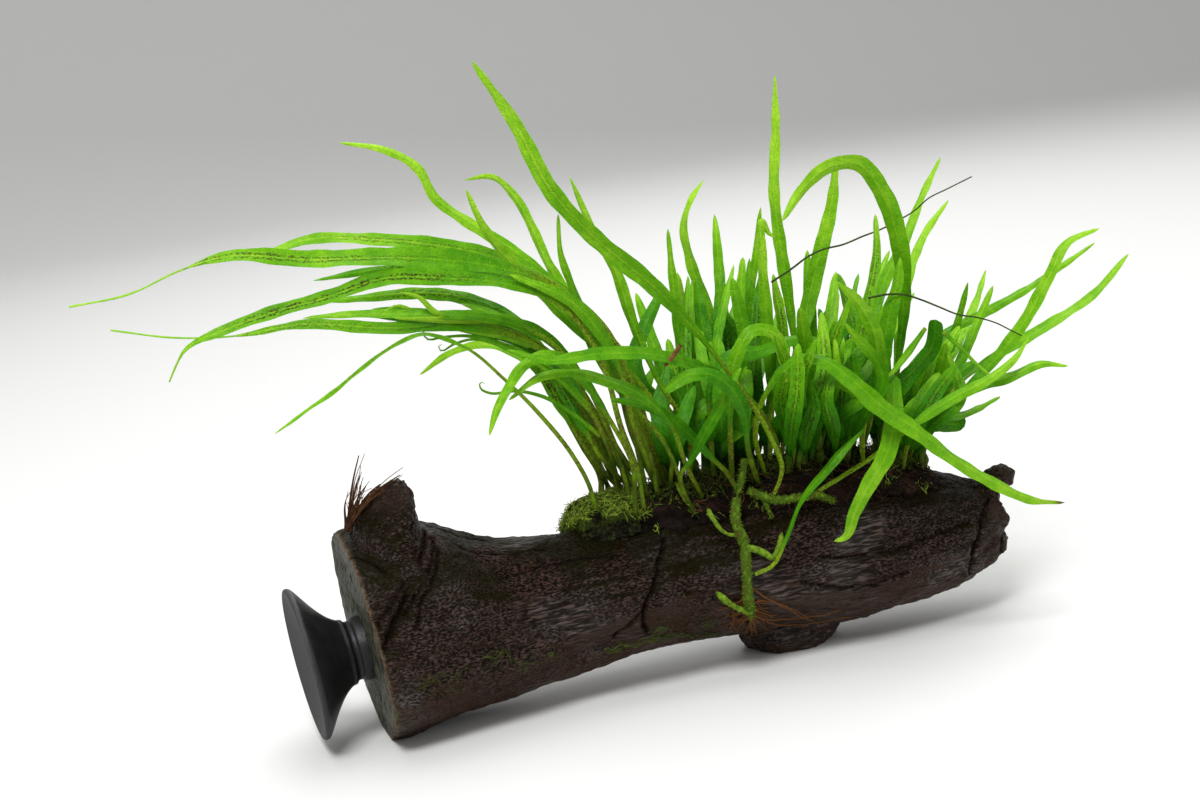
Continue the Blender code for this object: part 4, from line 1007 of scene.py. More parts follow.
    @staticmethod
    def stub(rows: tuple, count: int, sides: int, rough: float) -> Array:
        """Level rings of a stub: ovals between the given rows, rippled by sines that turn with the height."""
        x, depth, height, half_length, half_depth = smooth_line(rows, count).T[:, :, None]
        angle = full_turn(sides)[None]
        ripple = 1 + rough * (np.sin(3 * angle + 0.35 * height) + 0.7 * np.sin(5 * angle - 0.2 * height))
        rings = [x + half_length * ripple * np.cos(angle), depth + half_depth * ripple * np.sin(angle)]
        return np.stack([*rings, height + 0 * angle], axis=-1)[None]

    def build(self) -> list[bpy.types.Object]:
        """Makes the wood's four pieces."""
        fork = self.stub(self.fork, count=90, sides=130, rough=0.05)
        fork = roughened(fork, (0.5, 0.5, 0.16), amount=0.75, seed=71)
        fork = roughened(fork, (1.1, 1.1, 0.5), amount=0.3, seed=75)
        splinters = 0.9 * layered_noise(fork * (0.7, 0.7, 0.2), 81, 3)
        fork[..., 2] += smoothstep(60, 68, fork[..., 2]) * splinters
        torn = smoothstep(64, 68, fork[..., 2])
        foot = self.stub(self.foot, count=50, sides=120, rough=0.035)
        level = foot[..., 2].copy()
        foot = roughened(foot, (0.4, 0.4, 0.5), amount=0.6, seed=91)
        foot[..., 2] = level
        knob = tube(smooth_line(self.knob, 50), graded(self.knob_girth, 50), sides=44)
        knob = roughened(knob, 0.3, amount=0.7, seed=95)
        knob = roughened(knob, (0.5, 1.1, 1.1), amount=0.25, seed=97)
        worn = {"broken": smoothstep(113, 120, knob[..., 0]) * 0.6}
        bark = WetBark().material()
        return [
            self.log().piece("wood_log", bark, "bark", "driftwood_log"),
            lofts(fork, {"broken": torn}).piece("wood_fork", bark, "bark", "upper_fork_stub"),
            lofts(foot).piece("wood_foot", bark, "bark", "lower_stub"),
            lofts(knob, worn).piece("wood_knob", bark, "bark", "right_prong"),
        ]


@dataclass
class SuctionCup:
    """The rubber cup, turned about its axis: a shallow dish, a flat lip, a flared cone and a grooved neck."""

    centre: tuple[float, float, float] = (-93.4, 0.0, 24.4)
    tilt: float = math.radians(4.8)
    segments: int = 160
    # From the dish over the lip and down the cone to the neck: distance behind the lip's plane and radius.
    profile: tuple = (
        (3.4, 0.6), (3.4, 3), (2.9, 8), (1.6, 14.5), (0.25, 19.2), (0, 19.8), (0, 20.9), (0.25, 21.4),
        (0.9, 21.5), (1.8, 21.2), (3.6, 18.6), (5.8, 15.2), (9, 11.3), (11.6, 9.4), (12.4, 9.3),
        (13.1, 9.2), (13.5, 8.3), (14.9, 8.3), (15.4, 9.1), (21, 9.1),
    )

    def rounded_profile(self) -> Array:
        """The profile with its corners cut three times, a quarter of each side every time."""
        rows = np.array(self.profile)
        for _ in range(3):
            near, far = rows[:-1], rows[1:]
            cut = np.stack([0.75 * near + 0.25 * far, 0.25 * near + 0.75 * far], axis=1).reshape(-1, 2)
            rows = np.concatenate([rows[:1], cut, rows[-1:]])
        return rows

    def build(self) -> list[bpy.types.Object]:
        """Makes the cup, with dust on the face and the lip."""
        axis = np.array([math.cos(self.tilt), 0, math.sin(self.tilt)])
        lift = np.array([-math.sin(self.tilt), 0, math.cos(self.tilt)])
        side = np.array([0, 1, 0])
        turn = full_turn(self.segments)[:, None]
        rim = np.cos(turn) * side + np.sin(turn) * lift
        rows = self.rounded_profile()
        behind, radius = rows[:, 0, None, None], rows[:, 1, None, None]
        rings = (np.array(self.centre) + behind * axis + radius * rim)[None]
        step = np.arange(len(rows))
        lip = int(np.argmax(rows[:, 1]))
        dust = np.where(step < lip, 1, 0.5 * np.exp(-(rows[:, 0] / 1.2)) + 0.08)
        surface = lofts(rings, {"dust": dust[None, :, None]})
        return [surface.piece("cup", CupRubber().material(), "cup_rubber", "suction_cup")]


@dataclass
class Cushion:
    """The felt of roots on the wood, with moss at its left end and between the stalks."""

    moss_end: float = 5.0
    root_strands: int = 900
    moss_strands: int = 4200
    sprigs: int = 1500
    strands_a_thread: int = 4
    # Thin moss threads along the underside of the wood, as places in the view.
    threads: tuple = (
        ((2, -69.5), (8, -68), (14, -66.5), (17, -64.5), (19, -63.5)),
        ((14, -66.5), (19, -66), (24, -65.5), (30, -65.5), (35, -65)),
        ((-32, -72), (-29, -72.8), (-26.5, -71), (-24.5, -73.2), (-21, -73.8)),
        ((-50, -80.5), (-46, -79), (-42.5, -79.8), (-40, -77.8), (-37.5, -79)),
    )
    pad_sides: int = 110
    seed: int = 7

    def pad(self, low: float, high: float, rings: int, rough: float) -> Surface:
        """The closed felt or moss between two places along the wood, roughened by noise.

        Args:
            low: Where it starts along the wood.
            high: Where it ends.
            rings: How many rings it has.
            rough: How high its lumps are.

        Returns:
            The closed pad.
        """
        x, angle = np.meshgrid(np.linspace(low, high, rings), full_turn(self.pad_sides), indexing="ij")
        plain = GROUND.felt_surface(x, angle)
        mossy = self.mossy(plain)
        sunk = (1.8 + 3.6 * smoothstep(16, 6, x)) * (1 - mossy)
        grow = rough * (layered_noise(plain * 0.55, 101, 3) - 0.2) - sunk
        tone = (0.25 + 0.3 * lattice_noise(plain * 0.3, 105)) * (0.3 + 0.7 * mossy)
        return lofts(GROUND.felt_surface(x, angle, grow)[None], {"tone": tone[None]})

    @staticmethod
    def mossy(points: Array) -> Array:
        """1 above the moss's lower edge, a line in the view that rises to the right, and 0 below it."""
        right, up = VIEW.in_view(points)
        edge = np.minimum(-35.5 + 0.55 * (right + 8), -31.5) + 1.2 * lattice_noise(points * 0.3, 117)
        return smoothstep(-1, 1, up - edge)

    @staticmethod
    def tufts(x: Array, angle: Array, length: Array, rng: Random) -> Surface:
        """Short moss strands that stand off the felt, lean at random and droop with the length's square.

        Args:
            x: Where each strand stands along the wood.
            angle: Where it stands round the felt.
            length: How long it is.
            rng: Gives the random draws.

        Returns:
            All the strands.
        """
        count = len(x)
        foot = GROUND.felt_surface(x, angle, -0.4)
        out = unit(GROUND.felt_surface(x, angle, 1) - foot)
        way = unit(out + rng.normal(0, 0.55, (count, 3)))
        part = np.linspace(0, 1, 5)[None, :, None]
        reach = length[:, None, None]
        lines = foot[:, None] + way[:, None] * reach * part
        lines[..., 2] -= 0.35 * length[:, None] * part[..., 0] ** 2
        lines += rng.normal(0, 0.22, (count, 3))[:, None] * np.sin(part * math.pi * 1.5) * reach
        tone = held(rng.normal(0.55, 0.2, count)[:, None] + 0.3 * part[..., 0])
        radii = rng.uniform(0.12, 0.24, count)[:, None] * (1 - 0.75 * part[..., 0])
        return strands(lines, radii, 3, tone)

    def creepers(self, count: int, low: float, high: float, rng: Random) -> Surface:
        """Root strands over the felt: each drifts in x and angle with two sines and lifts off a little.

        Args:
            count: How many strands are drawn.
            low: The lowest x at which one starts.
            high: The highest.
            rng: Gives the random draws.

        Returns:
            Those that lie above the moss's lower edge.
        """
        part = np.linspace(0, 1, 11)[None, :]
        each = (count, 1)
        x, angle = rng.uniform(low, high, each), rng.uniform(-0.9, math.pi + 0.9, each)
        reach, turn = rng.normal(0, 7, each), rng.normal(0, 0.5, each)
        phase = rng.uniform(0, 6.3, each)
        x = x + reach * part + 0.9 * np.sin(7 * part + phase)
        x = np.clip(x, FELT_ROWS[0][0] + 1, FELT_ROWS[-1][0] - 0.5)
        angle = angle + turn * part + 0.09 * np.cos(9 * part + phase)
        lift = 0.15 + rng.uniform(0.1, 1.4, each) * np.sin(math.pi * part)
        lines = GROUND.felt_surface(x, angle, lift)
        tone = held(rng.normal(0.35, 0.25, each) + 0 * part)
        radii = rng.uniform(0.1, 0.22, each) * (1 - 0.5 * part)
        kept = self.mossy(lines).min(axis=1) > 0.3
        return strands(lines[kept], radii[kept], 4, tone[kept])

    def felt(self, rng: Random) -> Surface:
        """The felt of roots, from the moss to its right end."""
        high = FELT_ROWS[-1][0]
        creepers = self.creepers(self.root_strands, self.moss_end, high, rng)
        return Surface.joined([self.pad(self.moss_end + 0.3, high, rings=170, rough=0.9), creepers])

    def moss(self, rng: Random) -> Surface:
        """The moss cushion on the felt's left end.

        Args:
            rng: Gives the random draws.

        Returns:
            The cushion with its strands.
        """
        low = FELT_ROWS[0][0]
        x = rng.uniform(low + 0.6, self.moss_end + 2, self.moss_strands)
        angle = rng.uniform(-0.5, math.pi + 0.5, self.moss_strands)
        feet = GROUND.felt_surface(x, angle)
        length = rng.uniform(1.4, 2.9, self.moss_strands) * (1 + 0.45 * lattice_noise(feet * 0.45, 111))
        kept = self.mossy(feet) > 0.5
        tufts = self.tufts(x[kept], angle[kept], length[kept], rng)
        creepers = self.creepers(self.root_strands // 6, low, self.moss_end + 3, rng)
        return Surface.joined([self.pad(low, self.moss_end, rings=60, rough=0.8), tufts, creepers])

    def loose_moss(self, rng: Random) -> Surface:
        """Sprigs of moss among the stalks, and the moss threads along the underside of the wood.

        Args:
            rng: Gives the random draws.

        Returns:
            The sprigs and the threads.
        """
        high = FELT_ROWS[-1][0]
        x = rng.uniform(self.moss_end, high - 3, self.sprigs)
        angle = rng.uniform(0.1, math.pi - 0.1, self.sprigs)
        kept = lattice_noise(GROUND.felt_surface(x, angle) * 0.25, 115) > 0.05
        length = rng.uniform(1, 2.4, self.sprigs)
        sprigs = self.tufts(x[kept], angle[kept], length[kept], rng)
        x = rng.uniform(self.moss_end + 3, high - 6, self.sprigs)
        angle = rng.uniform(0.9, math.pi - 0.9, self.sprigs)
        tangle = self.tufts(x, angle, rng.uniform(2.5, 7.5, self.sprigs), rng)
        tangle.values["tone"] = tangle.values["tone"] * 0.42
        lines = [GROUND.view_line(route, 0.3, 40) for route in self.threads]
        lines = np.repeat(lines, self.strands_a_thread, axis=0)
        lines = lines + 0.7 * rng.normal(0, 1, (len(lines), 1, 3))
        lines = lines + 1.1 * axis_noise(lines * 0.6, 118)
        lines[..., 2] = np.maximum(lines[..., 2], 0.3)
        tone = rng.uniform(0.08, 0.36, (len(lines), 1))
        return Surface.joined([sprigs, tangle, strands(lines, np.linspace(0.15, 0.08, 40), 4, tone)])

    def build(self) -> list[bpy.types.Object]:
        """Makes the felt, the moss on its left end and the sprigs of moss among the stalks."""
        rng = np.random.default_rng(self.seed)
        brown = ("root_felt", (0.0045, 0.0023, 0.0016), (0.019, 0.0085, 0.0045), (0.12, 0.05, 0.018))
        green = ("moss", (0.006, 0.004, 0.002), (0.07, 0.115, 0.01), (0.28, 0.4, 0.04))
        felt, moss = Fibre(*brown).material(), Fibre(*green).material()
        return [
            self.felt(rng).piece("roots_felt", felt, "roots", "root_mat", crease=SOFT),
            self.moss(rng).piece("moss_cushion", moss, "moss", "moss_pad", crease=SOFT),
            self.loose_moss(rng).piece("moss_sprigs", moss, "moss", crease=SOFT),
        ]


@dataclass
class Rhizomes:
    """The green rhizomes on the felt and down the wood, fuzzy with scales, and the roots from them."""

    seed: int = 17
    sides: int = 12
    # How many hairs and scales stand on each millimetre of a stem.
    fuzz: int = 30
    lift: float = 2.6
    root_lift: float = 1.2
    rough: float = 0.16
    rootlets: int = 60
    creeping: tuple = ((41.5, -25.2), (45, -26.8), (50, -28), (56, -27.2), (61, -26.6), (66, -28.5))
    sprig: tuple = ((45.5, -27), (47, -30.5), (48, -33))
    hanging: tuple = ((38.2, -27.5), (38, -34), (40.2, -39.5), (41, -47), (41.3, -54), (42.5, -61.3))
    girth: tuple = (1.1, 1.2, 1.3, 1.4, 1.3, 1.3, 1.3, 1.4, 1.4, 0.8)
    shoots: tuple = (
        (((39.2, -37.8), (36, -37.6), (33.4, -35.8), (31.4, -33), (30.2, -30.4)), (0.5, 0.5, 0.55, 0.7, 0.9)),
        (((21.5, -23.5), (23, -26), (25, -29.5)), (0.6, 0.8, 0.7)),
        (((41, -41.2), (45, -42.3), (48.5, -44), (50.2, -40.5), (51, -37)), (1, 1, 0.9, 0.8, 0.8)),
        (((41.8, -59.6), (38, -58), (35, -56), (33.4, -54.6), (32.4, -53.6)), (0.8, 0.7, 0.7, 1.1, 0.6)),
    )
    roots: tuple = (
        ((42.3, -60), (46, -61.3), (52, -61.4), (60, -60.4), (68, -59)),
        ((41.5, -52), (46, -55), (52, -58), (58, -60.4)),
        ((41.3, -55), (38, -57.5), (37.2, -62), (37, -66)),
        ((42.3, -60.5), (43.2, -63), (43.4, -66.5)),
        ((42.8, -60), (48, -62.5), (55, -63), (65, -61.5), (70, -61)),
        ((44, -56), (50, -57), (55, -60), (62, -63)),
        ((41, -58), (38, -60), (38.6, -65)),
        ((42, -61), (42.4, -63.5), (41.5, -66.5)),
    )

    def tube(self, line: Array, girth: Array) -> Surface:
        """A round green stem with rounded ends and a scaly skin."""
        rings = tube(line, girth, self.sides)
        tone = 0.52 + 0.3 * layered_noise(rings * 1.6, 121, 3)
        return lofts(roughened(rings, 1.3, self.rough, seed=123), {"tone": tone})

    @staticmethod
    def fuzzed(line: Array, girth: Array, count: int, rng: Random) -> Surface:
        """Pale scales and hairs that stand off a stem, each at a random place along and round it.

        Args:
            line: The stem's middle line.
            girth: Its radius at each point.
            count: How many hairs stand on it.
            rng: Gives the random draws.

        Returns:
            All the hairs.
        """
        place = rng.uniform(0, len(line) - 1.001, count)
        step, part = place.astype(int), (place % 1)[:, None]
        foot = blend(line[step], line[step + 1], part)
        tangent = unit(line[step + 1] - line[step])
        out = rng.normal(0, 1, (count, 3))
        out = unit(out - (out * tangent).sum(axis=1, keepdims=True) * tangent)
        way = unit(out + 0.6 * tangent * rng.normal(0, 1, (count, 1)))
        reach = rng.uniform(0.25, 0.85, count)[:, None, None] * np.linspace(0, 1, 4)[None, :, None]
        lines = (foot + out * girth[step][:, None] * 0.9)[:, None] + way[:, None] * reach
        tone = np.clip(rng.normal(0.8, 0.2, count)[:, None], 0.4, 1)
        return strands(lines, np.array([0.08, 0.07, 0.05, 0.02]), 3, tone)

    def root(self, route: tuple, number: int, thick: float = 0.3) -> Surface:
        """A thin brown root along the wood, wavering by noise."""
        line = GROUND.view_line(route, self.root_lift, 26)
        line = line + 0.8 * axis_noise(line * 0.35, 130 + number) * np.linspace(0.2, 1, 26)[:, None]
        return strands(line[None], np.linspace(thick, 0.1, 26), 5, 0.02)

    def stem_parts(self, route: tuple, lift: float, girth: tuple, rng: Random) -> list[Surface]:
        """A stem along a route in the view, with its fuzz."""
        count = 9 * len(route)
        line = GROUND.view_line(route, lift, count)
        girth = graded(girth, count)
        return [self.tube(line, girth), self.fuzzed(line, girth, int(reach_along(line)[-1] * self.fuzz), rng)]

    def rootlet(self, number: int, rng: Random) -> Surface:
        """A short root that bends as it leaves the hanging rhizome's foot."""
        way = rng.uniform(math.radians(-175), math.radians(-5))
        reach, bend = rng.uniform(3, 9), rng.uniform(-0.5, 0.5)
        right, up = rng.uniform(40.5, 43.5), rng.uniform(-62, -55)
        steps = [(share * reach, way + bend * share) for share in (0, 0.5, 1)]
        route = tuple((right + far * math.cos(turn), up + 0.7 * far * math.sin(turn)) for far, turn in steps)
        return self.root(route, 40 + 3 * number, rng.uniform(0.14, 0.26))

    def build(self) -> list[bpy.types.Object]:
        """Makes the creeping and the hanging rhizome."""
        rng = np.random.default_rng(self.seed)
        skin = ("rhizome_skin", (0.12, 0.044, 0.013), (0.04, 0.088, 0.004), (0.185, 0.31, 0.018))
        skin = Fibre(*skin).material()
        creeping = self.stem_parts(self.creeping, 1.7, (1.1, 0.75), rng)
        creeping += self.stem_parts(self.sprig, 1.3, (0.4, 0.15), rng)
        hanging = self.stem_parts(self.hanging, self.lift, self.girth, rng)
        top = GROUND.view_line(self.hanging, self.lift, 9)[0]
        bend = VIEW.seen((40.6, 39.6), (-16.5, -22), top[1] + (3, 1))
        neck = smooth_line([*bend, top], 12)
        hanging += [self.tube(neck, np.linspace(0.9, 1.2, 12)), self.fuzzed(neck, np.full(12, 1), 140, rng)]
        for route, girth in self.shoots:
            stalk = self.stem_parts(route, self.lift, girth, rng)[0]
            stalk.values["tone"] = stalk.values["tone"] * 0.5 + 0.46
            hanging.append(stalk)
        hanging += [self.root(route, 3 * number) for number, route in enumerate(self.roots)]
        hanging += [self.rootlet(number, rng) for number in range(self.rootlets)]
        return [
            Surface.joined(parts).piece(f"{name}_stem", skin, "rhizome", f"rhizome_{name}", crease=SOFT)
            for name, parts in (("creeping", creeping), ("hanging", hanging))
        ]


@dataclass
class FibreTuft:
    """Brown fibres that stand up beside the fork from a knot of roots on the sawn end's upper edge."""

    seed: int = 27
    depth: float = -6.0
    extra: int = 46
    knot: tuple = ((-77, -6, 60.8), (-75.7, -6, 62.8), (-74.2, -6, 64.6))
    fibres: tuple = (
        ((-70.6, -36), (-70, -29), (-69, -22), (-67.5, -15.5)),
        ((-70.3, -35), (-69, -30.5), (-67.5, -27), (-65.5, -24)),
        ((-69.5, -34), (-67, -29.5), (-64.5, -26), (-61.5, -23.5)),
        ((-68.8, -33), (-65, -28), (-61, -24.3), (-56, -21)),
    )

    def build(self) -> list[bpy.types.Object]:
        """Makes the knot, the four long fibres and thinner ones between them, mixed from neighbours."""
        rng = np.random.default_rng(self.seed)
        brown = Fibre("dry_fibre", (0.012, 0.005, 0.003), (0.06, 0.024, 0.01), (0.19, 0.08, 0.03)).material()
        places = [[VIEW.seen(right, up, self.depth) for right, up in route] for route in self.fibres]
        main = np.stack([smooth_line(route, 24) for route in places])
        pick = rng.integers(0, len(main) - 1, self.extra)
        mixed = blend(main[pick], main[pick + 1], rng.uniform(0, 1, self.extra)[:, None, None])
        height = rng.uniform(0.35, 0.97, self.extra)[:, None] * np.linspace(0, 23, 24)[None]
        step = np.minimum(height.astype(int), 22)
        rows = np.arange(self.extra)[:, None]
        lines = blend(mixed[rows, step], mixed[rows, step + 1], (height - step)[..., None])
        rise = np.linspace(0, 1, 24)[None, :, None]
        lines += rng.normal(0, 1, (self.extra, 1, 3)) * (0.5 + 0.9 * rise)
        lines += 0.5 * np.sin(6 * rise + rng.uniform(0, 6, (self.extra, 1, 3))) * rise
        knot = tube(smooth_line(self.knot, 16), graded((0.7, 1.1, 1.1, 0.6), 16), sides=14)
        parts = [
            lofts(roughened(knot, 0.9, amount=0.35, seed=141), {"tone": 0.3}),
            strands(main, np.linspace(0.45, 0.15, 24), 6, 0.45),
            strands(lines, np.linspace(0.2, 0.08, 24), 4, rng.uniform(0.2, 0.9, (self.extra, 1))),
        ]
        return [Surface.joined(parts).piece("fibres", brown, "roots", "fibre_tuft", crease=SOFT)]


@dataclass(frozen=True)
class Look:
    """How a leaf looks: its tone at foot and tip, its spore rows, where it turns brown and how it ends.

    A leaf may end blunt or in a thread, given as a share of its length, be turned by more degrees than its
    lean, and, where late is above 1, be widest nearer its tip.
    """

    # foot and tip are tones. The rise toward the tip is partly the leaf's own paler colour and partly painted
    # glow of light shining through it.
    foot: float = 0.24
    tip: float = 0.8
    spores: float = 0.0
    brown_from: float = 1.2
    blunt: bool = False
    thread: float = 0.0
    turned: float = 0.0
    late: float = 1.0


@dataclass
class Leaf:
    """One leaf, laid out in the view.

    Its stalk's foot stands on the felt at a place (x, depth), or with no foot where the first of the points
    lies on the wood. The points are places in the view from foot to tip. The depth runs from the foot's to
    the tip's, with a bow between. The lean turns the blade's width out of the view's plane, at foot and tip,
    in degrees. The stalk is the part of the length that is bare of blade.
    """

    name: str
    width: float
    foot: tuple[float, float] | None
    tip_depth: float
    bow: float
    lean: tuple[float, float]
    points: tuple
    stalk: float = 0.2
    look: Look = Look()
    point: float = 0.36


